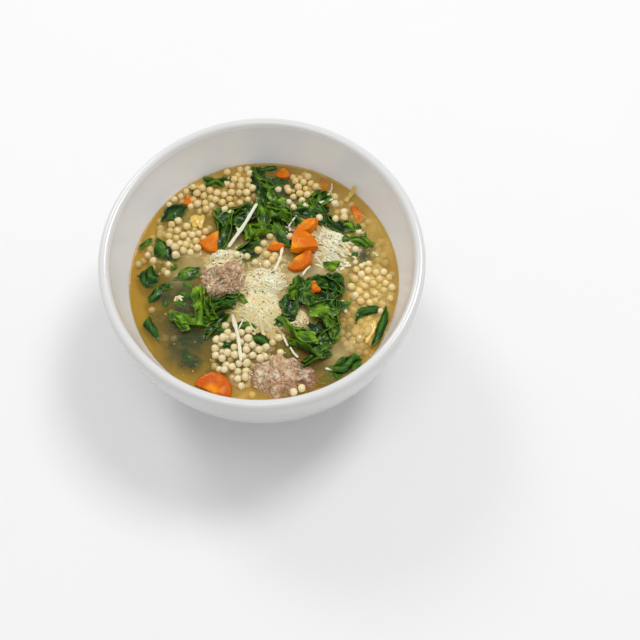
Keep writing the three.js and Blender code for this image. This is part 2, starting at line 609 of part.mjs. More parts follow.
for (const spec of MEATBALLS) place(spec.name, (grow) => meatball(spec, grow), COLOURS.meat, spec.at);
for (const spec of CARROTS) place(spec.name, (grow) => carrot(spec, grow), COLOURS.carrot, spec.at);
for (const spec of CHEESE_HEAPS) place(spec.name, (grow) => cheeseHeap(spec, grow), COLOURS.cheese, spec.domes[0].at);
for (const spec of CLUMPS) place(spec.name, (grow) => clump(spec, grow), COLOURS.spinach, spec.cores[0].at);
for (const spec of LEAVES) place(spec.name, (grow) => leaf(spec, grow), COLOURS.spinach, spec.at);
for (const spec of SHREDS) place(spec.name, (grow) => shred(spec, grow), COLOURS.cheese, spec.from);
for (const spec of ONIONS) {
  place(spec.name, (grow) => strip(spec.path, spec.width, spec.thick, grow), COLOURS.onion, spec.path[0]);
}

function meetsPlaced(solid) {
  if (!solid.subtract(room).isEmpty()) return true;
  return placed.some((other) => boxesMeet(solid, other.grown) && !solid.intersect(other.grown).isEmpty());
}

// Heaps of pearls: a lens in the broth with every pearl that has room fused to it.
for (const spec of PASTA_HEAPS) {
  const free = pearlPlaces(spec).filter((spot) => !meetsPlaced(pearl(spot, AFLOAT)));
  const pearls = (grow) => free.map((spot) => pearl(spot, AFLOAT, grow));
  place(spec.name, (grow) => joined([lens(spec, HEAP_RISE, HEAP_DEPTH, grow), ...pearls(grow)]), COLOURS.pasta, spec.at);
}

// The broth, with pearls afloat on it, cut clear of all that is sunk in it.
let broth = hollow(WET_ANGLES);
for (const [x, y] of LOOSE_PEARLS) {
  const afloat = pearl([x, y, 0.7], -GAP);
  if (!meetsPlaced(afloat)) broth = broth.add(afloat);
}
soup.add(toMesh("broth", clearOfOthers(broth), COLOURS.broth));

const part = new THREE.Group();
part.add(toMesh("bowl", bowl(), COLOURS.china));
part.add(soup);

export default part;
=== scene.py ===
"""A white china bowl of Italian wedding soup. Lengths are in millimetres until a mesh is made."""

import math

import bmesh
import bpy
import numpy as np
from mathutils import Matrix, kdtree


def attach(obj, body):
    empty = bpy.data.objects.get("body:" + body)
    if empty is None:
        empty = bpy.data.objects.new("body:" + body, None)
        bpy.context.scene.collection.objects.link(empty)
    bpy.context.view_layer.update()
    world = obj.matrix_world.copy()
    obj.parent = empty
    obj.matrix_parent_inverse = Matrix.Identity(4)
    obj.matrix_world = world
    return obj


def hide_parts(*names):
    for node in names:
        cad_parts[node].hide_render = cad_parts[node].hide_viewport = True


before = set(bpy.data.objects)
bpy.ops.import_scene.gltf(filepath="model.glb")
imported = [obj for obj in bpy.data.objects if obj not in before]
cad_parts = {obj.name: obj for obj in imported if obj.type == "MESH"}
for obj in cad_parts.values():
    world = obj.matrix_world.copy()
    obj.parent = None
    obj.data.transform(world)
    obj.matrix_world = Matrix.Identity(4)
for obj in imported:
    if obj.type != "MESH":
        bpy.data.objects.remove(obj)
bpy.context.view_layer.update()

MM = 0.001

# The bowl
RIM_RADIUS = 80.0
LIP_THICKNESS = 5.5
BOWL_HEIGHT = 75.0
OUTER_DEPTH = 86.0
INNER_DEPTH = 65.5
INNER_SPREAD = 0.55
INNER_FALL = 1.54
FOOT_RADIUS = 43.0
FOOT_WIDTH = 6.0
FOOT_HEIGHT = 3.5
FOOT_RECESS = 2.2
BOWL_SEGMENTS = 160
LIP_RADIUS = LIP_THICKNESS / 2
LIP_Z = BOWL_HEIGHT - LIP_RADIUS
INNER_RIM = RIM_RADIUS - LIP_THICKNESS

# The soup. Places are x to the right, y away from the viewer and z above the broth's level.
LEVEL = BOWL_HEIGHT - 27.3
AFLOAT = 0.36
WALL_GAP = 0.12
FOG_DEPTH = 5.0  # depth at which the cloudy broth hides two thirds of what lies in it
SILT_DEPTH = 6.4  # depth at which nothing more can be told apart
MENISCUS = 0.55
LEAF_THICKNESS = 0.3
PEARL_RADIUS = 2.0

# The camera, fitted to the rim and to the soup's edge
LENS = 75.0
CAMERA_AT = (28.3, -297.9, 652.5)
CAMERA_PITCH = 24.5

# Meatballs: node, middle, radii, seed, and how much duller the right side is
MEATBALLS = [
    {"node": "meatball_left", "at": (-21, 0.6, -3), "radii": (12, 10.4, 10.4), "seed": 11},
    {"node": "meatball_front", "at": (10.5, -53, -2.4), "radii": (15.6, 10.6, 9.4), "seed": 23, "dull": 0.5},
]


def carrot(at, radius, sweep, thick, tilt, turn, tint=None, node=None, slip=(0, 0, 0)):
    """A piece of carrot: its middle, the slice it is cut from, how it lies, and how light it is."""
    return {
        "at": at, "radius": radius, "sweep": sweep, "thick": thick, "tilt": tilt, "turn": turn,
        "tint": tint, "node": node, "slip": slip,
    }


# Pieces of carrot with a node each, and pieces sunk in the broth
CARROTS = [
    carrot((21.9, 30.6, 1.6), 5.8, 165, 5, (14, -8), -70, 1.0, "carrot_back", (0, -1.0, 0)),
    carrot((17.8, 19, 2.2), 14, 74, 5, (-10, 4), 41, 0.6, "carrot_middle"),
    carrot((19.2, 9.6, 0.2), 7.5, 170, 5.5, (8, -8), -50, 0.4, "carrot_front"),
    carrot((-26.5, 22.6, 0.2), 12, 52, 6, (-12, 6), -118, 0.8, "carrot_left"),
    carrot((5.6, 18.6, 0.6), 5.6, 112, 5, (10, 8), -80, 0.7, "carrot_centre"),
    carrot((-22.7, -56.6, -0.8), 9.5, 176, 6, (-4, -10), 68, 0.0, "carrot_rim"),
    carrot((-40.4, 46.8, -0.7), 6, 56, 4.5, (-8, 6), -80, 0.6, "carrot_back_left"),
    carrot((9, 62.6, -1.4), 6.5, 76, 5, (6, -4), -95, 0.5, "carrot_far"),
    carrot((26, -4.9, 6.4), 7.6, 42, 3, (6, 10), -90, 0.45, "carrot_crumb"),
]
SUNK_CARROTS = [
    carrot((47.8, 38, -1.5), 5.4, 170, 3.5, (6, 5), 20),
    carrot((30.5, 55.5, -1.8), 5.6, 110, 3.5, (5, 5), 180),
    carrot((-24, 49, -2.6), 5, 90, 3, (6, 6), 90),
    carrot((-32, 17, -3.2), 6, 140, 4, (6, 6), 10),
    carrot((42, -22, -4.4), 6, 160, 4, (6, 6), 90),
    carrot((3, 24.5, -2.6), 5, 120, 3.5, (8, 0), 70),
]

# The lumps of the crumb: middle, radius and seed
CRUMB_LUMPS = [
    ((25.3, -4.4, 6.1), 1.15, 3),
    ((25.6, -6.4, 5.7), 1.3, 6),
    ((25.5, -8.0, 5.7), 1.7, 8),
    ((27, -8.1, 5.5), 1.6, 9),
]


def leaf(
    x, y, length, width, turn, bend, lift, rise, pleats, phase,
    name=None, tint=None, corners=None, ribbed=0.3,
):
    """A leaf: the middle of its midrib, its size, how it runs and is pleated, its green, and its outline."""
    return {
        "at": (x, y), "length": length, "width": width, "turn": turn, "bend": bend, "lift": lift,
        "rise": rise, "pleats": pleats, "phase": phase, "name": name, "tint": tint, "corners": corners,
        "ribbed": ribbed,
    }


# Clumps of leaves: the middle and radii of the mounds under them, and their leaves. Scraps of leaf lie
# over every leaf, or over each second one where scraps is 2.
CLUMPS = {
    "spinach_back": {
        "cores": [((-15, 32), (8, 8)), ((3, 36), (11, 8))],
        "scraps": 2,
        "leaves": [
            leaf(-2.5, 55, 22, 8, -66, 10, 0.4, 2.2, 2, 0.4),
            leaf(-21, 29, 22, 9, -82, -40, 0.4, 3, 2, 1.9),
            leaf(-13.5, 36, 17, 11, 12, 30, 1.4, 2.2, 2, 3.1),
            leaf(-2, 39, 15, 6, -72, 12, 2.6, 1.6, 1, 0.9),
            leaf(-3, 27.5, 13, 10, 20, -20, 1.2, 2.2, 2, 4.4, tint=0.8),
            leaf(-9.5, 16.5, 16, 9, 24, 26, 0.5, 2.4, 2, 2.2),
            leaf(8, 37, 18, 10, -28, -50, 1.6, 2.8, 2, 5.2),
            leaf(9, 26.5, 20, 7, -66, 20, 0.5, 2.4, 1, 1.1),
            leaf(5, 46, 11, 5, -52, 10, 0.8, 1.8, 1, 2.9, tint=0.9),
        ],
    },
    "spinach_right": {
        "cores": [((29, -11), (11, 12)), ((26, -30), (10, 10))],
        "scraps": 2,
        "leaves": [
            leaf(16.5, -12.5, 21, 11, -118, -10, 0.8, 3.2, 2, 0.2),
            leaf(22, -4.5, 18, 9, 30, -30, 1.0, 3.0, 2, 0.9),
            leaf(32, -2.5, 17, 8, -12, -40, 1.6, 3, 2, 1.4, tint=0),
            leaf(36.5, -8.5, 14, 9, -96, -20, 1.4, 3.2, 2, 2.7, tint=0),
            leaf(26.5, -12.5, 14, 9, -50, 16, 2.0, 2.4, 2, 2.2, tint=0.3),
            leaf(30, -18, 15, 9, -4, -20, 2.6, 2.6, 1, 1.2, tint=0.6),
            leaf(34, -14, 11, 7, -70, 20, 2.8, 2.4, 2, 3.9, tint=0),
            leaf(16.5, -31, 18, 5, -24, 14, 3.6, 1.4, 1, 5.1, tint=1.0, ribbed=1),
            leaf(33.5, -25, 14, 9, -84, -16, 2.2, 3.0, 2, 0.8, tint=0.4),
            leaf(23, -36, 19, 9, -8, -20, 1.4, 3, 2, 2.4, tint=0.3),
            leaf(30.5, -33, 14, 8, 44, -14, 1.4, 2.6, 1, 1.9, tint=0.1),
            leaf(25.5, -43, 14, 6.5, -156, 24, 0.6, 2.4, 1, 3.3, tint=0.2),
            leaf(10, -22.5, 9, 4.5, 16, 20, 0.6, 1.6, 1, 4.6, tint=0.5),
        ],
    },
    "spinach_left": {
        "cores": [((-27, -17), (6, 6))],
        "leaves": [
            leaf(-31.5, -14.5, 19, 6.0, -84, -16, 2.2, 2.2, 1, 0.3, tint=1, ribbed=1),
            leaf(-36.5, -23.4, 19, 6.0, 176, -24, 1.0, 1.8, 1, 1.7, tint=0.8),
            leaf(-22.5, -14.5, 15, 11, 8, -22, 1, 2.8, 2, 2.6, tint=0),
            leaf(-27, -17, 14, 7.5, -60, 30, 1.4, 2.4, 2, 5.6, tint=0.5),
            leaf(-24, -26.5, 16, 6.5, -126, 10, 0.4, 1.6, 1, 4.1, tint=0.2),
        ],
    },
    "spinach_back_right": {
        "cores": [((30, 40.5), (6, 4))],
        "leaves": [
            leaf(28, 46.5, 13, 8, 40, 40, 0.8, 2.6, 2, 0.7),
            leaf(32, 34.5, 24, 6.5, -34, -8, 0.6, 2.4, 1, 1.9, tint=0),
            leaf(18.5, 41, 10, 5, 30, 20, 1, 1.8, 1, 3.7),
        ],
    },
}

# Single leaves, by their nodes
LEAVES = [
    leaf(-27.5, 56, 12, 7, -12, 20, 0, 2.2, 2, 0.5, "leaf_back_left"),
    leaf(-47, 37.5, 17, 10, 38, 0, 0, 1.5, 1, 1.3, "leaf_left_upper", 0,
         [(-54.5, 33), (-51.5, 42.5), (-44, 44), (-39.5, 41.5), (-43.5, 35)]),
    leaf(-51, 16.5, 16, 9, -58, 0, 0, 1.6, 1, 2.1, "leaf_left", 0.1,
         [(-56.6, 13.5), (-55.6, 24.5), (-48, 20), (-45.4, 11), (-48.4, 9.8)]),
    leaf(-61.2, 20, 9, 3, 44, 0, 0, 0.8, 1, 2.9, "leaf_left_rim"),
    leaf(-58.3, 2.4, 13, 9.5, -40, 0, 0, 2.2, 2, 3.7, "leaf_left_dark", 0,
         [(-64.6, 2), (-57, 8), (-52.6, 1.5), (-54.2, -3.4), (-59, -5.2)]),
    leaf(-39.5, 3.5, 14, 8.5, 22, 0, 0, 1.4, 1, 4.5, "leaf_left_bright", 0.5,
         [(-46.6, -0.5), (-43.4, 3.9), (-39.4, 6.8), (-32, 7.3), (-33, 1.3), (-37.6, -0.9)]),
    leaf(-54, -8.5, 11, 5, 58, 30, 0, 1.6, 1, 5.3, "leaf_left_low", 0),
    leaf(-55.4, -27, 13, 5, -68, 0, 0, 1.4, 1, 6.1, "leaf_left_front", 0,
         [(-57, -20.6), (-60, -25.4), (-51.4, -34.4), (-52.4, -27.4)]),
    leaf(2.2, 65, 9, 3, 10, 6, 0, 0.8, 1, 0.9, "leaf_far_rim"),
    leaf(43.5, 31, 8, 5, -36, 20, 0, 1.6, 1, 1.7, "leaf_right_far"),
    leaf(50, 21.5, 14, 5.5, -18, -14, 0, 1.6, 2, 2.5, "leaf_right_back"),
    leaf(41, 23.2, 6.5, 3.8, 10, 10, 0, 1, 1, 1.2, "leaf_right_small"),
    leaf(35, 8.6, 10, 6.5, 14, 0, 1, 1.8, 1, 3.3, "leaf_by_carrots", 0.8,
         [(29.5, 9.8), (38.6, 10.2), (37.6, 6.4), (34.4, 4.4), (31.4, 5.8)]),
    leaf(51.5, -18, 15, 5, 20, -110, 0.2, 2, 1, 4.1, "leaf_right_arch", 0),
    leaf(58.6, -26.6, 24, 4.2, -112, -26, 0, 2.2, 1, 4.9, "leaf_right_wall", 0),
    leaf(41.5, -46.4, 16, 9, 24, -24, 0, 2.6, 2, 5.7, "leaf_front_right", 0.1),
    leaf(-9.5, -26, 11, 6, -14, -60, 0, 1.8, 1, 0.1, "leaf_front_far"),
    leaf(-1, -33.4, 11, 6, -34, 20, 0, 1.8, 1, 0.9, "leaf_front_mid", 0),
    leaf(-17, -35.8, 9, 3, 4, 0, 0, 0.8, 1, 1.7, "leaf_front_strip", 0),
    leaf(-10, -11.8, 9, 2.6, -56, 10, 1.4, 0.8, 1, 2.5, "leaf_by_meatball", 0.6),
]

# Leaves that lie wholly under the broth: their lift is how deep they are.
SUNK_LEAVES = [
    leaf(-39, -9, 22, 13, -50, 20, -1.2, 1.4, 2, 0.6, tint=0.1),
    leaf(-46, -18, 18, 12, 20, 20, -3.2, 1.6, 2, 1.6, tint=0),
    leaf(-35, -43, 13, 8, -35, 10, -1.6, 1.4, 1, 1.6, tint=0),
    leaf(-35, -33, 15, 11, 10, 10, -2.0, 1.4, 2, 2.6, tint=0),
    leaf(-22, -47, 14, 9, 60, 20, -3.0, 1.2, 1, 0.9, tint=0),
    leaf(-48, 12, 15, 11, 20, 30, -3.0, 1.5, 2, 0.2, tint=0),
    leaf(8, 54, 15, 11, -20, 20, -1.1, 1.2, 2, 1.1, tint=0),
    leaf(49, 14.5, 13, 9, -20, 10, -1.2, 1.2, 1, 2.1, tint=0),
    leaf(47.5, 28, 13, 8, -60, 10, -0.9, 1.2, 1, 4.4, tint=0),
    leaf(42, -30, 18, 9, 60, 10, -3.4, 1.4, 1, 3.1, tint=0),
    leaf(34, -53, 13, 8, 10, 20, -1.6, 1.4, 1, 4.1, tint=0.3),
    leaf(14, -38, 14, 10, 30, 20, -1.8, 1.4, 1, 5.1, tint=0),
    leaf(-44, 33, 14, 9, 20, 10, -3.0, 1.2, 1, 1.9, tint=0),
    leaf(10, 10, 15, 9, 20, 10, -2.6, 1.2, 1, 2.9, tint=0),
    leaf(14, 45, 14, 8, 40, 10, -2.4, 1.2, 1, 3.9, tint=0),
    leaf(26, -26, 12, 9, 40, 10, -1.4, 1.2, 1, 3.9, tint=0),
    leaf(-22, -52, 6, 3.5, 20, 0, -1.2, 0.8, 1, 3.9),
    leaf(-37, 51, 6, 3.5, 10, 0, -0.6, 0.8, 1, 3.9),
    leaf(-46, 7, 5, 3, 40, 0, -0.3, 0.8, 1, 1.9),
    leaf(-50, -4, 7, 4, 10, 0, -0.5, 0.8, 1, 2.9, tint=0.1),
    leaf(45, -1, 4.5, 3, 30, 0, -0.2, 0.6, 1, 4.9),
    leaf(-49, -13, 6, 4, 60, 0, -0.8, 0.8, 1, 0.9, tint=0.1),
]

# Each heap's mounds of (middle, radii, height), and where its shreds are strewn: middle, radii, the way
# they run, how unevenly, and half their length. An open heap is low, with single shreds on hazy broth.
CHEESE_HEAPS = [
    {
        "node": "cheese_middle",
        "domes": [((0, -2), (11.5, 8.5), 4.2), ((-1, -16), (10.5, 11.5), 4.0)],
        "spread": [
            ((0, -1), (11, 9), -50, 70, 2.2), ((0, -4), (12, 8), -50, 60, 2.6),
            ((-2, -17), (9, 9), -72, 26, 5.5), ((10, -3), (12, 8), 20, 40, 3.2),
            ((-9, -20), (10, 5), -22, 22, 5.5), ((4, 8), (8, 6), 60, 50, 2.6),
            ((3, -22), (7, 9), -80, 30, 6.0),
        ],
        "shreds": 380,
        "open": False,
        "seed": 5,
    },
    {
        "node": "cheese_by_meatball",
        "domes": [((-18.5, 13.2), (9, 4.2), 3.4)],
        "spread": [
            ((-19, 12.4), (10, 4.6), 0, 50, 3), ((-23, 10), (7, 6), 40, 60, 3),
            ((-12, 14), (6, 5), -30, 60, 4),
        ],
        "shreds": 130,
        "open": False,
        "seed": 17,
    },
    {
        "node": "cheese_by_carrots",
        "domes": [((34.5, 20.5), (7, 9), 3.0)],
        "spread": [
            ((34.5, 20.5), (8, 10), -35, 25, 4.5), ((35, 18), (11, 12), -30, 40, 4),
            ((29, 28), (12, 7), -35, 25, 5), ((40, 17), (7, 10), -40, 25, 4.5),
            ((28, 11), (8, 6), -20, 40, 4.5), ((17, 34), (6, 5), 40, 30, 4),
        ],
        "shreds": 200,
        "open": True,
        "seed": 29,
    },
]

# Long shreds: the node each one stands for, its two ends, its width, and how far its middle sags
SHREDS = [
    ("shred_back", (-4.2, 40.5, 6.4), (-18.2, 17, 3.6), 1.8, -0.6),
    ("shred_front", (-15.2, -21, 3.4), (-10.3, -46, 4.2), 1.8, -0.6),
    ("shred_centre", (9.3, 17.5, 3.0), (5.2, 3, 4.6), 1.5, 0.3),
]

# Small shreds: two ends and a width
SMALL_SHREDS = [
    ((12.2, 29.2, 2.6), (16.2, 35.2, 3.4), 1.2),
    ((-9.8, -23.4, 3.6), (-12.2, -29, 3.2), 1.0),
    ((39.4, -12.6, 2.6), (41.2, -18.8, 1.4), 1.9),
    ((31, -48.6, 0.7), (40, -50.2, 0.9), 1.4),
    ((9.8, -30.5, 1.2), (12.4, -37, 1.6), 1.3),
    ((13.6, -37.6, 1.4), (17.6, -43, 1.0), 1.5),
    ((28, 43.6, 1.6), (35, 46.2, 1.2), 1.6),
    ((-6.6, -25, 2.6), (-3.8, -29, 1.8), 0.9),
    ((23.4, 6.2, 3.4), (19.4, 0.6, 3.8), 1.2),
    ((-14.6, 28.8, 3.4), (-13.2, 25.6, 3.2), 1.6),
    ((-44.5, -10, 0.3), (-40.5, -9.6, 0.3), 1.1),
    ((33.4, 49.6, 0.6), (34.6, 56, 0.4), 0.9),
    ((17, -24.6, 3.2), (10.6, -25.2, 2.2), 1.2),
]

# Tangles of thin shreds: middle, radii and number
SHRED_NESTS = [
    ((18.4, -21.8), (3.6, 3.4), 34),
    ((-42.4, -10.6), (1.4, 0.4), 3),
    ((12, 29), (2.6, 3.6), 12),
]

# Onion: node, the path of its middle, width and thickness
ONIONS = [
    ("onion_piece", [(-38, 32.5, 0.9), (-35, 33.4, 1.5), (-31.5, 32.8, 0.9)], 5.5, 1.0),
    ("onion_strip_wall", [(41.5, 45, 0.5), (44.4, 48.4, 2), (46.3, 50.6, 6.2)], 1.9, 0.7),
    ("onion_strip_right", [(51, -35, 0.8), (54.6, -29, 1.1), (55.6, -23.5, 0.8)], 1.3, 0.7),
]

# Heaps of pearls: node, middle, radii, turn, seed, highest lie, depth sunk, room a pearl takes, whiteness
PASTA_HEAPS = [
    ("pasta_back_left", (-24, 48.5), (19, 9.5), 8, 101, 1.8, 0, 6.2, 0),
    ("pasta_far_rim", (-13, 61), (9, 4.6), 6, 131, 1.8, 0, 6.2, 0),
    ("pasta_left", (-39.5, 24), (11.5, 10), -40, 151, 1.8, 0, 6.2, 0),
    ("pasta_front", (-10.5, -43), (14, 15.5), 10, 171, 2.6, 0, 6.2, 0.6),
    ("pasta_back_right", (19.5, 54), (9.5, 8.5), -35, 191, 1.8, 0, 6.2, 0),
    ("pasta_right", (54.2, -4), (10.8, 13.5), 12, 211, 1.8, 1.2, 5.2, 0),
    ("pasta_centre", (1, 14), (5.4, 4.6), 0, 231, 1.8, 0, 6.2, 0),
]

# Single pearls, by the place of their middle
LOOSE_PEARLS = [
    (6.5, 52.5, -0.7), (12, 45, -0.6), (13, 24, 1.4), (28, 35, 1.2), (36.3, 34.6, 0.9), (40.6, 38.6, 0.8),
    (40.8, 35.2, 1.3), (33, 49.6, -0.2), (36, 48, 0.2), (36, 44, 0), (48, 27.6, -0.9), (46.4, 17.4, -0.5),
    (42, 16.4, -0.8), (55.4, 15.3, -1.4), (-45, 13, 2.4), (-45.6, 17.4, 2.3), (-41.4, 16.3, 0.8),
    (51, 8.6, -0.8), (46.4, 10, -1.2), (-59.6, 14.4, -1), (-56.6, 11.2, -0.7), (-64.2, 9.6, -1.8),
    (-48.6, 9, -1.1), (-54, 28.4, -2.4), (-58.6, 18, -1.4), (-49, 4, -1.2), (-50, 43.4, -0.4),
    (-47.6, 46.8, -0.6), (-44.2, 48.6, -0.6), (-14, 13, 2.6), (-48.6, 28.4, -0.2), (5, -35, 0.8),
    (8, -32.4, 0.9), (8.8, -40.6, 1.4), (1, -38, 0.6), (1.4, -42.6, 0.8), (15.6, -61.8, 3.0),
    (19.4, -60.2, 3.7), (-18.6, -26, 1.2), (-22.8, -33.2, 0.5), (-18, -32.2, 0.9), (20.6, 42.4, 0.2),
    (-56, -15.6, -2.6), (-48.6, -31, -2.4), (-44, -31.4, -2.8), (5.4, 13, 1), (58.4, -17.6, 0),
    (46, -9.4, 1.2), (14.6, 40.6, 2.4), (-33, 54, -0.8), (-41.4, 51.6, -1), (-17.6, 37.8, 1),
    (44, -34.4, -1.8), (48, -31.6, -1.6), (-0.4, 20.3, 0.8), (2.6, 24.4, 1.3), (-8.8, 12.6, 1.3),
    (1.4, 8.3, 1.2), (8.2, 11.4, 0.5), (-4.6, 9.4, 0.6), (52, -28.6, -1.6), (49, -35.6, -2.4),
    (46, -27.4, -2.2), (55.4, -32.6, -1.8), (42.6, -37.4, -2.6), (53.4, -24.8, -1.8),
]

# Pearls under the surface: middle and radii of each patch, their number, and their lowest and highest lie
SUNK_PEARLS = [
    ((-54, 20), (9, 15), 26, -3.6, -2.0),
    ((-30, 50), (24, 10), 34, -4.0, -2.2),
    ((18, 52), (15, 11), 24, -4.0, -2.2),
    ((49, -27), (10, 12), 40, -3.6, -2.0),
    ((-2, -44), (16, 14), 20, -3.8, -2.2),
    ((48, 14), (11, 11), 26, -3.4, -2.0),
    ((36, 8), (7, 7), 8, -2.8, -2.0),
    ((4, -59), (13, 4), 9, -3.0, -2.0),
    ((58, 8), (7, 15), 26, -3.2, -2.0),
    ((45, 40), (12, 9), 20, -3.4, -2.0),
    ((-38, 28), (14, 12), 16, -4.0, -2.4),
    ((3, 14), (7, 6), 8, -3.0, -2.0),
]


def srgb(red, green, blue):
    """A colour as seen on a screen, from 0 to 255, as linear light."""
    parts = [c / 255 for c in (red, green, blue)]
    return tuple(c / 12.92 if c <= 0.04045 else ((c + 0.055) / 1.055) ** 2.4 for c in parts)


FOG = srgb(186, 150, 58)
FOG_BROWN = srgb(132, 100, 40)
FOG_GREEN = srgb(94, 88, 42)
EDGE_GOLD = srgb(204, 160, 56)
MILKY = srgb(232, 212, 152)
GOLDEN = srgb(252, 216, 118)
LEAF_SHADE = srgb(64, 74, 46)

# Haze in the broth's surface: milky by cheese and meat, dark green over sunken leaves, golden over pasta.
# Each spot has a middle, a reach and a strength.
CREAM_HAZE = [
    ((0, -2), 15, 1.0), ((-3, -18), 14, 1.0), ((18, 3), 6, 0.5), ((38, -39), 8, 0.6), ((-36, 11), 8, 0.6),
    ((4, 23), 5, 0.5), ((33, 19), 10, 0.8), ((-20, 14), 10, 0.8), ((18, -22), 6, 0.9), ((33, 4), 8, 0.8),
    ((-43, 2), 5, 0.4), ((2, 16), 9, 0.6), ((-6, -34), 11, 0.4),
]
LEAF_HAZE = [
    ((-43, -5), 9, 1.0), ((-37, -15), 9, 1.0), ((-38, -32), 8, 0.9), ((-35, -43), 7, 0.9),
    ((-28, -30), 6, 0.6), ((8, 54), 10, 1.0), ((10, 49), 7, 0.8), ((49, 14), 9, 1.0), ((24, -26), 7, 0.8),
    ((-44, -42), 11, 0.8), ((36, -50), 7, 0.6), ((-28, -57), 8, 0.5), ((9, 8), 5, 0.5),
    ((-46, -27), 8, 0.6), ((-52, -8), 6, 0.7), ((28, -45), 8, 0.6), ((-14, 20), 8, 0.6),
    ((-56, -27), 5, 0.6), ((-20, -33), 7, 0.5), ((41, -24), 6, 0.4), ((26, 5), 6, 0.9), ((15, 44), 5, 0.8),
    ((48, -40), 5, 0.5),
]
GOLD_HAZE = [
    ((-30, 50), 14, 0.9), ((-10, 58), 10, 0.7), ((-42, 27), 12, 0.8), ((-12, -54), 11, 0.5),
    ((22, 54), 11, 0.9), ((52, -4), 13, 1.0), ((50, -26), 10, 0.8), ((38, 38), 8, 0.5), ((-52, 16), 9, 0.5),
    ((2, -60), 11, 0.5), ((40, -50), 8, 0.3), ((14, 44), 8, 0.5), ((46, 24), 8, 0.4), ((44, -12), 8, 0.4),
    ((62, 18), 9, 0.8), ((56, 34), 9, 0.8), ((44, 48), 8, 0.6), ((64, -6), 7, 0.5), ((60, -24), 7, 0.5),
]

# How much the broth's surface hides where it is clear, over leaves, milky and golden, and at most
CLEAR_FILM, LEAF_FILM, MILKY_FILM, GOLDEN_FILM, DENSEST_FILM = 0.26, 0.66, 0.46, 0.24, 0.84

# The studio: the world's light, and the lamps by name, place in metres and power
WORLD_LIGHT = 0.57
LAMP_SIDE = 0.8
LAMPS = (
    ("back_left_softbox", (-1.21, 1.73, 1.77), 16),
    ("back_right_softbox", (0.97, 0.97, 2.38), 25.5),
    ("top_softbox", (-0.3, 0.05, 2.7), 6.4),
)
LAMPS_AIM = (0, 0, 0.05)


def inner_point(angle):
    """Radius and height of the bowl's inside, at an angle down from the middle of the lip."""
    radius = INNER_RIM * np.maximum(np.cos(angle), 0) ** INNER_SPREAD
    return radius, LIP_Z - INNER_DEPTH * np.sin(angle) ** INNER_FALL


def inner_radius(height):
    """Radius of the bowl's inside at a height."""
    sine = np.clip((LIP_Z - height) / INNER_DEPTH, 0, 1) ** (1 / INNER_FALL)
    return INNER_RIM * np.sqrt(1 - sine**2) ** INNER_SPREAD


# Shapes


def ripple(points, wavelength, seed, waves=9):
    """Smooth random relief of about unit height, with features about as wide as the wavelength."""
    rng = np.random.default_rng(seed)
    ways = rng.normal(size=(waves, points.shape[-1]))
    ways /= np.linalg.norm(ways, axis=1, keepdims=True)
    rates = 2 * math.pi / (wavelength * rng.uniform(0.65, 1.6, waves))
    phases = rng.uniform(0, 2 * math.pi, waves)
    return np.sin(points @ (ways * rates[:, None]).T + phases).sum(axis=-1) * math.sqrt(2 / waves)


def turned(profile, segments):
    """A closed surface of revolution. The profile's first and last points lie on the axis."""
    rings = np.array(profile[1:-1])
    around = np.linspace(0, 2 * math.pi, segments, endpoint=False)
    points = np.stack(
        [
            rings[:, 0, None] * np.cos(around),
            rings[:, 0, None] * np.sin(around),
            np.repeat(rings[:, 1, None], segments, axis=1),
        ],
        axis=-1,
    ).reshape(-1, 3)
    count = len(points)
    points = np.vstack([points, (0, 0, profile[0][1]), (0, 0, profile[-1][1])])
    faces = []
    for row in range(len(rings) - 1):
        for i in range(segments):
            j = (i + 1) % segments
            a, b = row * segments, (row + 1) * segments
            faces.append((a + i, a + j, b + j, b + i))
    last = (len(rings) - 1) * segments
    for i in range(segments):
        j = (i + 1) % segments
        faces.append((count, j, i))
        faces.append((count + 1, last + i, last + j))
    return points, faces


def sheet_solid(top, bottom):
    """A thin closed solid between two grids of points of the same size."""
    rows, cols = top.shape[:2]
    points = np.vstack([top.reshape(-1, 3), bottom.reshape(-1, 3)])
    under = rows * cols
    faces = []
    for i in range(rows - 1):
        for j in range(cols - 1):
            a = i * cols + j
            faces.append((a, a + cols, a + cols + 1, a + 1))
            faces.append((under + a, under + a + 1, under + a + cols + 1, under + a + cols))
    rim = [j for j in range(cols - 1)]
    rim += [i * cols + cols - 1 for i in range(rows - 1)]
    rim += [(rows - 1) * cols + j for j in range(cols - 1, 0, -1)]
    rim += [i * cols for i in range(rows - 1, 0, -1)]
    for k, a in enumerate(rim):
        b = rim[(k + 1) % len(rim)]
        faces.append((a, b, under + b, under + a))
    return points, faces


def joined(shapes):
    """Several shapes, each of points and faces, as one."""
    points, faces, count = [], [], 0
    for some_points, some_faces in shapes:
        points.append(some_points)
        faces.extend(tuple(count + i for i in face) for face in some_faces)
        count += len(some_points)
    return np.vstack(points), faces


def ball(subdivisions):
    """Points and faces of a ball of radius 1."""
    form = bmesh.new()
    bmesh.ops.create_icosphere(form, subdivisions=subdivisions, radius=1)
    points = np.array([v.co[:] for v in form.verts])
    faces = [tuple(v.index for v in f.verts) for f in form.faces]
    form.free()
    return points, faces


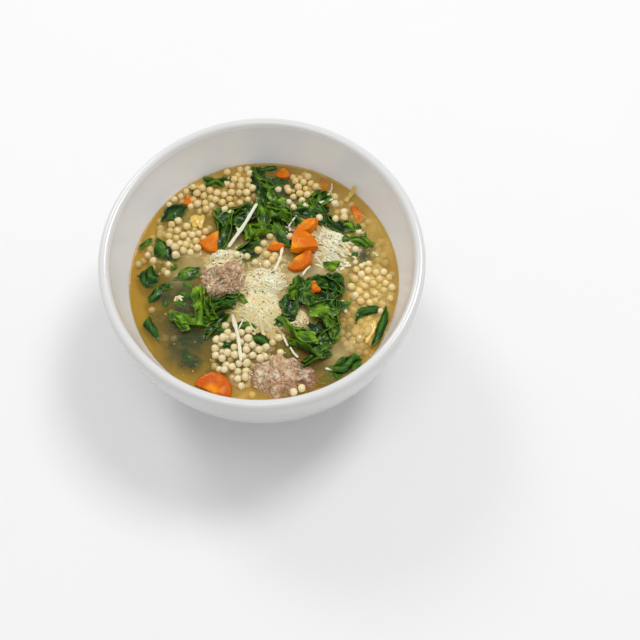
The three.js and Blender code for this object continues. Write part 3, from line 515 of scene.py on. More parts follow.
def strip(path, width, thick, rows, seed, rough=0.12):
    """A flat strip with soft edges along a smooth path."""
    path = np.array(path, dtype=float)
    share = np.linspace(0, len(path) - 1, rows)
    middle = np.stack([np.interp(share, range(len(path)), path[:, k]) for k in range(3)], axis=1)
    for _ in range(2):
        middle[1:-1] = (middle[:-2] + 2 * middle[1:-1] + middle[2:]) / 4
    way = np.gradient(middle, axis=0)
    side = np.stack([-way[:, 1], way[:, 0], np.zeros(rows)], axis=1)
    side /= np.linalg.norm(side, axis=1, keepdims=True)
    up = np.cross(way, side)
    up /= np.linalg.norm(up, axis=1, keepdims=True)
    around = np.radians([0, 62, 118, 180, 242, 298])
    taper = 1 - 0.3 * np.abs(np.linspace(-1, 1, rows)) ** 10
    uneven = 1 + rough * ripple(middle, 3.0, seed)
    half = (width / 2 * taper * uneven)[:, None, None]
    deep = (thick / 2 * taper)[:, None, None]
    points = middle[:, None, :] + half * np.cos(around)[None, :, None] * side[:, None, :]
    points = points + deep * 1.15 * np.sin(around)[None, :, None] * up[:, None, :]
    sides = len(around)
    faces = [tuple(range(sides)), tuple((rows - 1) * sides + k for k in reversed(range(sides)))]
    for i in range(rows - 1):
        for k in range(sides):
            a, b = i * sides + k, i * sides + (k + 1) % sides
            faces.append((a, b, b + sides, a + sides))
    return points.reshape(-1, 3), faces


def disc_grid(cells):
    """Places in a disc of radius 1 in an even grid, made from a square one."""
    line = np.linspace(-1, 1, cells + 1)
    a, b = np.meshgrid(line, line, indexing="ij")
    wide = np.abs(a) > np.abs(b)
    radius = np.where(wide, a, b)
    turn = np.where(wide, math.pi / 4 * b / np.where(a == 0, 1, a), 0)
    turn = np.where(~wide, math.pi / 2 - math.pi / 4 * a / np.where(b == 0, 1, b), turn)
    return radius * np.cos(turn), radius * np.sin(turn)


def folded(points, way, start, angle, radius):
    """A sheet near the ground, folded up and over a line that runs along way, start off the middle."""
    side = np.array((-math.sin(way), math.cos(way)))
    reach = points[:, :2] @ side - start
    turn = np.clip(reach / radius, 0, angle)
    rest = np.maximum(reach - radius * angle, 0)
    lift = points[:, 2]
    out = np.where(reach < 0, reach, radius * np.sin(turn) + rest * math.cos(angle) - lift * np.sin(turn))
    up = radius * (1 - np.cos(turn)) + rest * math.sin(angle) + lift * np.cos(turn)
    moved = points.copy()
    moved[:, :2] += (out - reach)[:, None] * side
    moved[:, 2] = np.where(reach < 0, lift, up)
    return moved


def seen_from(spec, x, y):
    """Places as they lie from a turned piece: along it, and to its side."""
    turn = math.radians(spec["turn"])
    dx, dy = x - spec["at"][0], y - spec["at"][1]
    return dx * math.cos(turn) + dy * math.sin(turn), dy * math.cos(turn) - dx * math.sin(turn)


def place_in(at, radii, reach, rng):
    """A place in a random direction in an ellipse, at a share of the way out."""
    around = rng.uniform(0, 2 * math.pi)
    return at[0] + reach * radii[0] * math.cos(around), at[1] + reach * radii[1] * math.sin(around)


# Materials


class Paint:
    """Builds one material's nodes."""

    def __init__(self, name):
        self.material = bpy.data.materials.new(name)
        self.material.use_nodes = True
        self.tree = self.material.node_tree
        self.shader = self.tree.nodes["Principled BSDF"]
        self.coords = self.node("ShaderNodeTexCoord").outputs["Object"]
        self.position = self.node("ShaderNodeNewGeometry")

    def node(self, kind, inputs=None, **settings):
        """A new node with its settings, and its inputs by name or number."""
        made = self.tree.nodes.new(kind)
        for key, value in settings.items():
            setattr(made, key, value)
        for key, value in (inputs or {}).items():
            self.feed(made.inputs[key], value)
        return made

    def feed(self, socket, value):
        """Links a socket to another, or sets it to a plain value."""
        if isinstance(value, bpy.types.NodeSocket):
            self.tree.links.new(value, socket)
        elif isinstance(value, tuple) and len(value) == 3 and socket.type == "RGBA":
            socket.default_value = (*value, 1)
        else:
            socket.default_value = value

    def set(self, **values):
        """Sets inputs of the main shader, with underscores for spaces, and gives the material."""
        for name, value in values.items():
            self.feed(self.shader.inputs[name.replace("_", " ")], value)
        return self.material

    def noise(self, size, detail=4, roughness=0.55, distortion=0.0):
        """A noise whose features are about size millimetres wide."""
        inputs = {"Vector": self.coords, "Scale": 1 / (size * MM), "Detail": detail}
        inputs.update({"Roughness": roughness, "Distortion": distortion})
        return self.node("ShaderNodeTexNoise", inputs).outputs["Fac"]

    def math(self, operation, a, b=0.0, clamp=False):
        return self.node("ShaderNodeMath", {0: a, 1: b}, operation=operation, use_clamp=clamp).outputs[0]

    def span(self, value, low, high, to_low=0.0, to_high=1.0):
        """Maps low..high of a value to another range, and keeps it there."""
        inputs = {"Value": value, "From Min": low, "From Max": high, "To Min": to_low, "To Max": to_high}
        return self.node("ShaderNodeMapRange", inputs).outputs[0]

    def mix(self, share, a, b):
        """Colour a with a share of colour b."""
        return self.node("ShaderNodeMix", {0: share, 6: a, 7: b}, data_type="RGBA").outputs[2]

    def ramp(self, value, *stops):
        """A colour ramp through (place, colour) stops."""
        made = self.node("ShaderNodeValToRGB", {"Fac": value})
        elements = made.color_ramp.elements
        while len(elements) < len(stops):
            elements.new(0.5)
        for element, (place, colour) in zip(elements, stops):
            element.position = place
            element.color = (*colour, 1)
        return made.outputs["Color"]

    def attribute(self, name):
        """The three numbers that each point has under a name."""
        held = self.node("ShaderNodeAttribute", attribute_name=name)
        split = self.node("ShaderNodeSeparateColor", {"Color": held.outputs["Color"]})
        return split.outputs["Red"], split.outputs["Green"], split.outputs["Blue"]

    def depth(self):
        """Depth under the broth in millimetres, negative above it."""
        split = self.node("ShaderNodeSeparateXYZ", {0: self.position.outputs["Position"]})
        down = self.math("SUBTRACT", LEVEL * MM, split.outputs["Z"])
        return self.math("DIVIDE", down, MM)

    def from_axis(self):
        """Distance from the bowl's axis, in metres."""
        place = {0: self.position.outputs["Position"], 1: (1, 1, 0)}
        flat = self.node("ShaderNodeVectorMath", place, operation="MULTIPLY")
        return self.node("ShaderNodeVectorMath", {0: flat.outputs[0]}, operation="LENGTH").outputs["Value"]

    def fogged(self, colour, fog=FOG, reach=FOG_DEPTH):
        """A colour as it looks through the cloudy broth over it."""
        sunk = self.math("MAXIMUM", self.depth(), 0.0)
        clear = self.math("EXPONENT", self.math("DIVIDE", sunk, -reach))
        return self.mix(clear, fog, colour)

    def bump(self, *layers):
        """Bump from (height, depth in millimetres) layers."""
        inputs = {"Strength": 1.0}
        for height, depth in layers:
            inputs.update({"Distance": depth * MM, "Height": height})
            inputs["Normal"] = self.node("ShaderNodeBump", inputs).outputs["Normal"]
        return inputs["Normal"]


def china_paint(name, shade, tint):
    paint = Paint(name)
    tone = paint.noise(26, 3)
    low, high = (tuple(part * shade * level for part in tint) for level in (0.985, 1.01))
    return paint.set(
        Base_Color=paint.ramp(tone, (0.3, low), (0.7, high)),
        Roughness=paint.span(paint.noise(9, 3), 0.3, 0.7, 0.16, 0.24),
        Normal=paint.bump((paint.noise(14, 2), 0.12), (paint.noise(2.4, 2), 0.008)),
        Coat_Weight=0.3,
        Coat_Roughness=0.12,
    )


def two_tone_paint(name, grain, dark, light, bump=0, **values):
    """Two tones in grains of a size and detail, raised by bump in millimetres."""
    paint = Paint(name)
    tone = paint.noise(*grain)
    if bump:
        values["Normal"] = paint.bump((tone, bump))
    return paint.set(Base_Color=paint.ramp(tone, (0.3, dark), (0.7, light)), **values)


def film_paint():
    """The broth's upper surface: hazy in places, and glossy."""
    paint = Paint("broth_surface")
    cream, green, gold = paint.attribute("broth")
    cloud = paint.noise(10, 4, 0.55, 0.8)
    swirl = paint.noise(6, 4, 0.55, 0.3)
    cream = paint.math("MULTIPLY", cream, paint.span(cloud, 0.3, 0.7, 0.6, 1.2), clamp=True)
    green = paint.math("MULTIPLY", green, paint.span(swirl, 0.3, 0.7, 0.6, 1.2), clamp=True)
    gold = paint.math("MULTIPLY", gold, paint.span(swirl, 0.3, 0.7, 1.1, 0.6), clamp=True)
    colour = paint.mix(cream, paint.mix(green, paint.mix(gold, FOG, GOLDEN), LEAF_SHADE), MILKY)
    haze = paint.span(green, 0, 1, CLEAR_FILM, LEAF_FILM)
    haze = paint.math("ADD", haze, paint.math("MULTIPLY", cream, MILKY_FILM))
    haze = paint.math("ADD", haze, paint.math("MULTIPLY", gold, GOLDEN_FILM))
    return paint.set(
        Base_Color=colour,
        Alpha=paint.math("MINIMUM", haze, DENSEST_FILM),
        Roughness=0.05,
        IOR=1.4,
        Specular_IOR_Level=0.6,
        Normal=paint.bump((cloud, 0.08), (paint.noise(1.6, 2), 0.01)),
    )


def deep_paint():
    """The depths of the broth, where nothing more can be told apart."""
    paint = Paint("broth_depths")
    cloud = paint.noise(18, 4, 0.55, 0.6)
    patch = paint.noise(8, 5, 0.6, 1.0)
    out = paint.math("MULTIPLY", paint.from_axis(), 1 / MM)
    colour = paint.mix(paint.span(cloud, 0.35, 0.6), FOG_BROWN, FOG_GREEN)
    colour = paint.mix(paint.span(patch, 0.4, 0.7, 0, 0.8), colour, FOG)
    _, _, gold = paint.attribute("broth")
    colour = paint.mix(paint.span(out, 48, 61), colour, EDGE_GOLD)
    colour = paint.mix(gold, colour, srgb(244, 206, 118))
    return paint.set(
        Base_Color=colour,
        Roughness=0.7,
        Specular_IOR_Level=0.1,
        Normal=paint.bump((patch, 0.5)),
    )


def wall_paint():
    """The china seen through a growing depth of broth at the edge."""
    paint = Paint("broth_by_wall")
    colour = paint.ramp(
        paint.span(paint.depth(), -0.6, 3),
        (0.0, srgb(252, 232, 168)),
        (0.25, srgb(250, 214, 104)),
        (0.6, srgb(246, 202, 76)),
        (1.0, EDGE_GOLD),
    )
    return paint.set(Base_Color=colour, Roughness=0.4, Normal=paint.bump((paint.noise(5, 3), 0.2)))


def pearl_paint():
    paint = Paint("pasta_pearls")
    island = paint.position.outputs["Random Per Island"]
    white, _, _ = paint.attribute("pearl")
    tone = paint.ramp(
        island, (0.0, srgb(226, 198, 122)), (0.5, srgb(234, 211, 147)), (1.0, srgb(242, 226, 173))
    )
    tone = paint.mix(white, tone, srgb(226, 218, 182))
    mottle = paint.noise(1.4, 4, 0.6)
    colour = paint.mix(paint.span(mottle, 0.4, 0.8, 0, 0.35), tone, srgb(204, 180, 112))
    return paint.set(
        Base_Color=paint.fogged(colour, srgb(226, 190, 104), reach=3.6),
        Roughness=0.34,
        Coat_Weight=0.3,
        Coat_Roughness=0.08,
        Subsurface_Weight=0.3,
        Subsurface_Scale=0.0014,
        Normal=paint.bump((paint.noise(0.5, 4), 0.02), (mottle, 0.06)),
    )


def leaf_paint():
    """Wilted spinach: dark and wet, with paler ribs, painted light on its high folds and thin edges, and
    painted shade low down.
    """
    paint = Paint("spinach")
    rib, lit, tint = paint.attribute("leaf")
    blade = paint.noise(5.5, 3, 0.5, 0.4)
    fine = paint.noise(0.9, 3, 0.5)
    dark = paint.mix(tint, srgb(6, 24, 6), srgb(34, 76, 10))
    light = paint.mix(tint, srgb(38, 92, 20), srgb(140, 184, 22))
    # Painted light: where a leaf lies higher, its colour goes lighter.
    share = paint.math("MULTIPLY", paint.span(blade, 0.25, 0.6, 0.4, 1), paint.math("POWER", lit, 1.25))
    colour = paint.mix(share, dark, light)
    colour = paint.mix(paint.span(fine, 0.5, 0.8, 0, 0.15), colour, srgb(50, 104, 26))
    # Ribs are paler; the painted light through thin edges comes in the same value.
    colour = paint.mix(paint.math("MULTIPLY", rib, 0.8), colour, srgb(132, 172, 46))
    return paint.set(
        Base_Color=paint.fogged(colour, srgb(70, 78, 40), reach=6.0),
        Roughness=paint.span(blade, 0.3, 0.7, 0.22, 0.4),
        Specular_IOR_Level=0.04,
        Coat_Weight=0.32,
        Coat_Roughness=0.04,
        Normal=paint.bump((blade, 0.1)),
    )


def meat_paint():
    """Simmered ground meat: pinkish crumbs, pale fat, and painted shade in the gaps between crumbs."""
    paint = Paint("meatball")
    crumb, crevice_shade, pale = paint.attribute("meat")
    fine = paint.noise(0.5, 5, 0.65)
    fat = paint.noise(1.5, 4, 0.6, 0.6)
    colour = paint.ramp(
        crumb,
        (0.1, srgb(170, 120, 84)),
        (0.35, srgb(210, 164, 120)),
        (0.65, srgb(224, 188, 144)),
        (0.9, srgb(240, 214, 172)),
    )
    colour = paint.mix(paint.math("MULTIPLY", pale, 0.8), colour, srgb(248, 232, 200))
    colour = paint.mix(paint.span(fat, 0.6, 0.7, 0, 0.5), colour, srgb(240, 220, 184))
    colour = paint.mix(paint.span(fine, 0.55, 0.8, 0, 0.5), colour, srgb(142, 94, 64))
    # Painted shade: the gaps between crumbs are darkened.
    colour = paint.mix(crevice_shade, colour, srgb(70, 40, 26))
    return paint.set(
        Base_Color=paint.fogged(colour),
        Roughness=paint.span(fine, 0.3, 0.7, 0.35, 0.6),
        Coat_Weight=0.3,
        Coat_Roughness=0.15,
        Normal=paint.bump((fine, 0.22)),
    )


def carrot_paint():
    paint = Paint("carrot")
    out, _, tint = paint.attribute("carrot")
    grain = paint.noise(1.1, 5, 0.6, 0.4)
    cloud = paint.noise(4, 3)
    flesh = paint.mix(tint, (0.54, 0.09, 0.001), (0.76, 0.2, 0.001))
    colour = paint.mix(paint.span(out, 0.2, 0.5), (0.88, 0.3, 0.002), flesh)
    colour = paint.mix(paint.span(grain, 0.45, 0.75, 0, 0.5), colour, (0.62, 0.1, 0.001))
    colour = paint.mix(paint.span(cloud, 0.5, 0.66, 0, 0.5), colour, (0.82, 0.28, 0.002))
    return paint.set(
        Base_Color=paint.fogged(colour),
        Roughness=0.36,
        Specular_IOR_Level=0.1,
        Coat_Weight=0.25,
        Coat_Roughness=0.06,
        Normal=paint.bump((grain, 0.07), (cloud, 0.15)),
    )


def cheese_paint(name, dull, middle, pale, melted):
    """Shreds of several tones, melted together in places and towards the viewer."""
    paint = Paint(name)
    island = paint.position.outputs["Random Per Island"]
    fine = paint.noise(0.8, 4, 0.6)
    melt = paint.noise(8, 4, 0.6, 0.5)
    tone = paint.ramp(island, (0.0, dull), (0.5, middle), (1.0, pale))
    place = paint.node("ShaderNodeSeparateXYZ", {0: paint.coords})
    ahead = paint.span(place.outputs["Y"], -0.002, -0.018, 0, 0.6)
    colour = paint.mix(paint.span(melt, 0.42, 0.66, 0, 0.7), tone, melted)
    colour = paint.mix(ahead, colour, melted)
    colour = paint.mix(paint.span(fine, 0.55, 0.8, 0, 0.3), colour, srgb(228, 198, 128))
    return paint.set(
        Base_Color=paint.fogged(colour, MILKY, reach=2.2),
        Roughness=0.4,
        Coat_Weight=0.2,
        Coat_Roughness=0.1,
        Subsurface_Weight=0.3,
        Subsurface_Scale=0.0012,
        Normal=paint.bump((fine, 0.05)),
    )


def onion_paint():
    paint = Paint("onion")
    vein = paint.noise(1.2, 4, 0.5, 0.8)
    colour = paint.ramp(vein, (0.3, srgb(216, 172, 44)), (0.7, srgb(234, 204, 104)))
    return paint.set(
        Base_Color=paint.fogged(colour),
        Roughness=0.25,
        Coat_Weight=0.6,
        Coat_Roughness=0.06,
        Normal=paint.bump((vein, 0.15)),
    )


PAINTS = {
    # One white glaze in two copies: painted darker on the outside (painted shade), lighter and slightly
    # bluer on the inside (painted light).
    "china": china_paint("china_glaze", 0.71, (1, 0.995, 0.98)),
    "china_inside_painted_light": china_paint("china_glaze_inside_painted_light", 0.97, (1, 1.005, 1.035)),
    "foot": two_tone_paint(
        "china_bare_foot", (0.6, 5), (0.60, 0.57, 0.52), (0.72, 0.69, 0.64), bump=0.06, Roughness=0.85
    ),
    "film": film_paint(),
    "deep": deep_paint(),
    "wall": wall_paint(),
    "pearl": pearl_paint(),
    "leaf": leaf_paint(),
    "meat": meat_paint(),
    "carrot": carrot_paint(),
    "cheese": cheese_paint(
        "grated_cheese", srgb(230, 208, 156), srgb(240, 224, 186), srgb(248, 238, 212), srgb(232, 200, 130)
    ),
    "veiled": cheese_paint(
        "cheese_in_haze", srgb(110, 114, 66), srgb(130, 132, 82), srgb(150, 148, 98), srgb(96, 104, 58)
    ),
    "strand": cheese_paint(
        "cheese_strands", srgb(222, 218, 190), srgb(228, 226, 202), srgb(236, 234, 214), srgb(226, 218, 184)
    ),
    "onion": onion_paint(),
    "pepper": two_tone_paint(
        "ground_pepper", (0.3, 4), srgb(42, 34, 28), srgb(104, 84, 60), bump=0.1, Roughness=0.8
    ),
    "oil": two_tone_paint(
        "oil_drops", (3, 2), srgb(226, 176, 60), srgb(236, 196, 92), Alpha=0.4, Roughness=0.05, IOR=1.9
    ),
}


def add_piece(name, shape, paints, nodes=(), places=None, values=None, level=LEVEL):
    """Makes a piece of the object from points in millimetres above the level.

    places numbers each face's paint, and values gives each point three numbers under a name.
    """
    points, faces = shape
    mesh = bpy.data.meshes.new(name)
    raised = np.asarray(points, dtype=float) + (0, 0, level)
    mesh.from_pydata((raised * MM).tolist(), [], faces)
    for paint in paints:
        mesh.materials.append(PAINTS[paint])
    if places is not None:
        mesh.polygons.foreach_set("material_index", np.asarray(places, dtype=np.int32))
    if values is not None:
        label, amounts = values
        layer = mesh.color_attributes.new(label, "FLOAT_COLOR", "POINT")
        rows = np.ones((len(points), 4))
        rows[:, :3] = amounts
        layer.data.foreach_set("color", rows.ravel())
    form = bmesh.new()
    form.from_mesh(mesh)
    bmesh.ops.recalc_face_normals(form, faces=form.faces)
    form.to_mesh(mesh)
    form.free()
    mesh.shade_smooth()
    mesh.set_sharp_from_angle(angle=math.radians(65))
    piece = bpy.data.objects.new(name, mesh)
    bpy.context.scene.collection.objects.link(piece)
    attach(piece, "root")
    if nodes:
        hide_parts(*nodes)
    return piece


# The bowl


def bowl():
    foot_inside = FOOT_RADIUS - FOOT_WIDTH
    profile = [(0, FOOT_RECESS), (foot_inside - 1.8, FOOT_RECESS), (foot_inside - 0.8, FOOT_RECESS - 0.4)]
    profile += [(foot_inside - 0.3, 0.5), (foot_inside + 0.4, 0)]
    profile += [(FOOT_RADIUS - 1.2, 0), (FOOT_RADIUS - 0.4, 0.3)]
    profile += [(FOOT_RADIUS, 1.1), (FOOT_RADIUS + 0.1, FOOT_HEIGHT - 1)]
    foot_angle = math.asin((LIP_Z - FOOT_HEIGHT) / OUTER_DEPTH)
    for angle in np.linspace(foot_angle, 0, 40):
        profile.append((RIM_RADIUS * math.cos(angle), LIP_Z - OUTER_DEPTH * math.sin(angle)))
    for turn in np.linspace(0, math.pi, 15)[1:]:
        across = RIM_RADIUS - LIP_RADIUS + LIP_RADIUS * math.cos(turn)
        profile.append((across, LIP_Z + LIP_RADIUS * math.sin(turn)))
    radius, height = inner_point(np.linspace(0, math.pi / 2, 60)[1:])
    profile += list(zip(radius[:-1], height[:-1]))
    profile.append((0, float(height[-1])))
    points, faces = turned(profile, BOWL_SEGMENTS)
    middles = np.array([points[list(face)].mean(axis=0) for face in faces])
    inside = np.hypot(middles[:, 0], middles[:, 1]) < inner_radius(middles[:, 2]) + 0.3
    places = np.where(inside & (middles[:, 2] > FOOT_RECESS + 2), 2, np.where(middles[:, 2] < 0.35, 1, 0))
    # Inside faces get the glaze with painted light, the rest the glaze with painted shade.
    paints = ["china", "foot", "china_inside_painted_light"]
    add_piece("china_bowl", (points, faces), paints, ["bowl"], places, level=0)


# The broth

FILM_CELLS = 200
# Depths of the rows of points down the wall
WALL_ROWS = (0.6, 1.4, 2.4, 3.6, 5, 7, 10, 14, 19, 25, 31, 36, 39.4)
BROTH_BOTTOM = 40.2
SILT_THICKNESS = 0.8


def hazes(points):
    """How much of each haze there is at each point."""
    amounts = np.zeros((len(points), 3))
    for column, spots in enumerate((CREAM_HAZE, LEAF_HAZE, GOLD_HAZE)):
        for (mx, my), reach, strength in spots:
            away = (points[:, 0] - mx) ** 2 + (points[:, 1] - my) ** 2
            amounts[:, column] += strength * np.exp(-away / reach**2)
    return np.minimum(amounts, 1)


def broth(floaters):
    """The broth up to its level, drawn up a little at the wall and at what floats in it."""
    cells = FILM_CELLS
    x, y = disc_grid(cells)
    edge = float(inner_radius(LEVEL + MENISCUS)) - WALL_GAP
    out = np.hypot(x, y)
    x, y = x * edge, y * edge
    flat = np.stack([x, y], axis=-1).reshape(-1, 2)
    height = 0.07 * ripple(flat, 16, 3) + 0.018 * ripple(flat, 5, 4)
    height *= 1 - out.ravel() ** 8
    height += MENISCUS * np.exp((out.ravel() - 1) * edge / 0.9)
    for fx, fy, radius in floaters:
        away = np.hypot(flat[:, 0] - fx, flat[:, 1] - fy) - radius
        near = away < 3.5
        height[near] += 0.38 * np.exp(-np.maximum(away[near], 0) / 0.75)
    top = np.stack([flat[:, 0], flat[:, 1], height], axis=1)
    rim = [(i, 0) for i in range(cells)]
    rim += [(cells, j) for j in range(cells)]
    rim += [(i, cells) for i in range(cells, 0, -1)]
    rim += [(0, j) for j in range(cells, 0, -1)]
    ring = [i * (cells + 1) + j for i, j in rim]
    faces = []
    for i in range(cells):
        for j in range(cells):
            a = i * (cells + 1) + j
            faces.append((a, a + cells + 1, a + cells + 2, a + 1))
    film_faces = len(faces)
    points = [top]
    count = len(top)
    above = ring
    turns = np.arctan2(top[ring, 1], top[ring, 0])
    for depth in WALL_ROWS:
        radius = float(inner_radius(LEVEL - depth)) - WALL_GAP
        row = np.stack([radius * np.cos(turns), radius * np.sin(turns), np.full(len(turns), -depth)], axis=1)
        below = list(range(count, count + len(row)))
        for k in range(len(row)):
            n = (k + 1) % len(row)
            faces.append((above[k], above[n], below[n], below[k]))
        points.append(row)
        count += len(row)
        above = below
    points.append(np.array([(0, 0, -BROTH_BOTTOM)]))
    for k in range(len(above)):
        faces.append((above[k], above[(k + 1) % len(above)], count))
    places = [0] * film_faces + [1] * (len(faces) - film_faces)
    points = np.vstack(points)
    values = ("broth", hazes(points))
    add_piece("broth_surface", (points, faces), ["film", "wall"], ["broth"], places, values)


def silt():
    """The depth of the broth at which nothing more shows: a dish that rises to the wall."""
    wall = float(inner_radius(LEVEL - 0.9)) - 0.3
    radii = np.linspace(0, wall, 60)
    rise = (SILT_DEPTH - 0.8) * (radii / wall) ** 14
    low = -SILT_DEPTH - SILT_THICKNESS
    profile = [(0, low)] + [(r * 0.992, low + z) for r, z in zip(radii[1:], rise[1:])]
    profile += [(r, -SILT_DEPTH + z) for r, z in zip(radii[:0:-1], rise[:0:-1])] + [(0, -SILT_DEPTH)]
    points, faces = turned(profile, 128)
    out = np.hypot(points[:, 0], points[:, 1]) / wall
    points[:, 2] += 0.5 * ripple(points[:, :2], 11, 8) * (1 - np.minimum(out, 1) ** 6)
    add_piece("broth_depths", (points, faces), ["deep"], values=("broth", hazes(points)))


# Meatballs


# Crumbs from coarse to fine: spacing, height, unevenness, and share in the colour
CRUMBS = ((2.2, 0.8, 0.6, 0.45), (1.1, 0.45, 0.35, 0.4), (0.6, 0.16, 0.12, 0.15))
MEAT_SKIN = {}


def meatball(spec):
    """Ground meat: a lumpy ball of crumbs of two sizes, some higher than others, with gaps between them."""
    node, seed = spec["node"], spec["seed"]
    rng = np.random.default_rng(seed)
    unit, faces = ball(6)
    radii = np.array(spec["radii"])
    surface = unit * radii
    bent = surface + 0.35 * np.stack([ripple(surface, 2.4, seed + k) for k in (1, 2, 3)], axis=1)
    relief, crevice_shade, shade, fat = (np.zeros(len(unit)) for _ in range(4))
    for spacing, high, uneven, share in CRUMBS:
        count = int(4 * math.pi * (radii.prod() ** (2 / 3)) / spacing**2)
        crumbs = rng.normal(size=(count, 3))
        crumbs = crumbs / np.linalg.norm(crumbs, axis=1, keepdims=True) * radii
        tree = kdtree.KDTree(count)
        for i, crumb in enumerate(crumbs):
            tree.insert(crumb, i)
        tree.balance()
        tone = rng.uniform(0, 1, count)
        step = uneven * rng.normal(size=count)
        pale = rng.uniform(0, 1, count)
        found = [tree.find_n(point, 2) for point in bent]
        first, second = (np.array([f[k][1] for f in found]) for k in (0, 1))
        near, far = (np.array([f[k][2] for f in found]) for k in (0, 1))
        apart = np.linalg.norm(crumbs[first] - crumbs[second], axis=1)
        inside = (far**2 - near**2) / np.maximum(2 * apart, 0.05)
        mound = 1 - np.exp(-inside / (0.3 * spacing))
        relief += high * mound + np.clip(step[first], -1, 1) * mound
        # Painted shade: how dark the gap between crumbs is painted.
        crevice_shade += 1.1 * share * np.exp(-inside / (0.1 * spacing))
        shade += share * tone[first]
        fat += share * (pale[first] > 0.86)
    relief += 1.1 * ripple(surface, 9.5, seed + 5) - 0.95
    shade -= spec.get("dull", 0) * np.clip((surface[:, 0] - 5) / 6, 0, 1)
    values = np.stack([np.clip(shade, 0, 1), np.clip(crevice_shade, 0, 1), np.clip(fat * 1.6, 0, 1)], axis=1)
    points = unit * (radii + relief[:, None] * 0.9) + spec["at"]
    MEAT_SKIN[node] = points
    add_piece(node + "_meat", (points, faces), ["meat"], [node], values=("meat", values))


# Carrots

CORE_SETBACK = 0.45  # how far a sector's point lies behind its middle, as a share of the radius
ROUNDING = 1.7  # width of the bevel along its edges
LONGEST_EDGE = 0.9
SMOOTHINGS = 9
REGROWTH = 1.05  # makes up for what smoothing takes off


def carrot_shape(spec, seed):
    """A sector of a thick slice with cooked, rounded edges. Also each point's place out from the core."""
    half = math.radians(spec["sweep"] / 2)
    radius, thick, point = spec["radius"], spec["thick"], -CORE_SETBACK * spec["radius"]
    form = bmesh.new()
    corners = [(point, 0)]
    for angle in np.linspace(-half, half, 15):
        corners.append((point + radius * math.cos(angle), radius * math.sin(angle)))
    face = form.faces.new([form.verts.new((x, y, -thick / 2)) for x, y in corners])
    grown = bmesh.ops.extrude_face_region(form, geom=[face])
    for item in grown["geom"]:
        if isinstance(item, bmesh.types.BMVert):
            item.co.z = thick / 2
    bmesh.ops.recalc_face_normals(form, faces=form.faces)
    bmesh.ops.bevel(
        form, geom=form.edges, offset=ROUNDING, segments=3, profile=0.6, affect="EDGES", clamp_overlap=True
    )
    bmesh.ops.triangulate(form, faces=form.faces)
    for _ in range(3):
        long = [e for e in form.edges if e.calc_length() > LONGEST_EDGE]
        if long:
            bmesh.ops.subdivide_edges(form, edges=long, cuts=1, use_grid_fill=False)
            bmesh.ops.triangulate(form, faces=[f for f in form.faces if len(f.verts) > 3])
    for _ in range(SMOOTHINGS):
        bmesh.ops.smooth_vert(
            form, verts=form.verts, factor=0.5, use_axis_x=True, use_axis_y=True, use_axis_z=True
        )
    form.verts.index_update()
    points = np.array([v.co[:] for v in form.verts]) * REGROWTH
    faces = [tuple(v.index for v in f.verts) for f in form.faces]
    form.free()
    out = np.hypot(points[:, 0] - point, points[:, 1]) / radius
    dent = 0.22 * ripple(points, 8.0, seed) + 0.06 * ripple(points, 1.8, seed + 1)
    points = points * (1 + dent[:, None] / np.maximum(np.linalg.norm(points, axis=1, keepdims=True), 1.5))
    for axis, degrees in ((0, spec["tilt"][0]), (1, spec["tilt"][1]), (2, spec["turn"])):
        points = turned_about(points, axis, math.radians(degrees))
    return points + spec["at"] + spec["slip"], faces, out


def turned_about(points, axis, angle):
    """Points turned about a main axis by the right-hand rule."""
    a, b = [(1, 2), (2, 0), (0, 1)][axis]
    spun = points.copy()
    spun[:, a] = points[:, a] * math.cos(angle) - points[:, b] * math.sin(angle)
    spun[:, b] = points[:, a] * math.sin(angle) + points[:, b] * math.cos(angle)
    return spun


def crumb_shape():
    """A crumb of carrot, of a few uneven lumps, given as the other pieces are."""
    unit, ball_faces = ball(3)
    lumps = []
    for at, size, seed in CRUMB_LUMPS:
        uneven = size * (1 + 0.2 * ripple(unit, 1.3, seed))
        lumps.append((unit * uneven[:, None] * (1, 1, 0.8) + at, ball_faces))
    points, faces = joined(lumps)
    return points, faces, np.full(len(points), 0.7)


def carrot_values(out, tint):
    return "carrot", np.stack([out, out * 0, out * 0 + tint], axis=1)


def carrots():
    for number, spec in enumerate(CARROTS):
        node = spec["node"]
        points, faces, out = crumb_shape() if node == "carrot_crumb" else carrot_shape(spec, 40 + number)
        values = carrot_values(out, spec["tint"])
        add_piece(node + "_flesh", (points, faces), ["carrot"], [node], values=values)
    made = [carrot_shape(spec, 60 + number) for number, spec in enumerate(SUNK_CARROTS)]
    values = carrot_values(np.concatenate([out for _, _, out in made]), 0.5)
    shape = joined([(points, faces) for points, faces, _ in made])
    add_piece("carrots_sunk", shape, ["carrot"], values=values)


# Spinach


def outline_reach(around, ways, reaches):
    """How far a convex outline with soft corners reaches, from the directions and distances of its sides."""
    lean = np.maximum(np.cos(around[..., None] - ways) / reaches, 0.01)
    return (lean**16).sum(axis=-1) ** (-1 / 16)


def torn_edge(around, corners, rng):
    """How far a torn piece of leaf reaches in each direction."""
    ways = 2 * math.pi * (np.arange(corners) + rng.uniform(-0.32, 0.32, corners)) / corners
    reach = outline_reach(around, ways, rng.uniform(0.7, 1.0, corners))
    return reach / reach.mean()


def known_edge(around, spec):
    """How far a leaf with known corners reaches in each direction."""
    along, aside = seen_from(spec, *np.array(spec["corners"]).T)
    along, aside = along / (spec["length"] / 2), aside / (spec["width"] / 2)
    side_x, side_y = np.roll(aside, -1) - aside, along - np.roll(along, -1)
    size = np.hypot(side_x, side_y)
    reaches = (side_x * along + side_y * aside) / size
    ways = np.arctan2(side_y, side_x) + np.where(reaches < 0, math.pi, 0)
    return outline_reach(around, ways, np.abs(reaches))


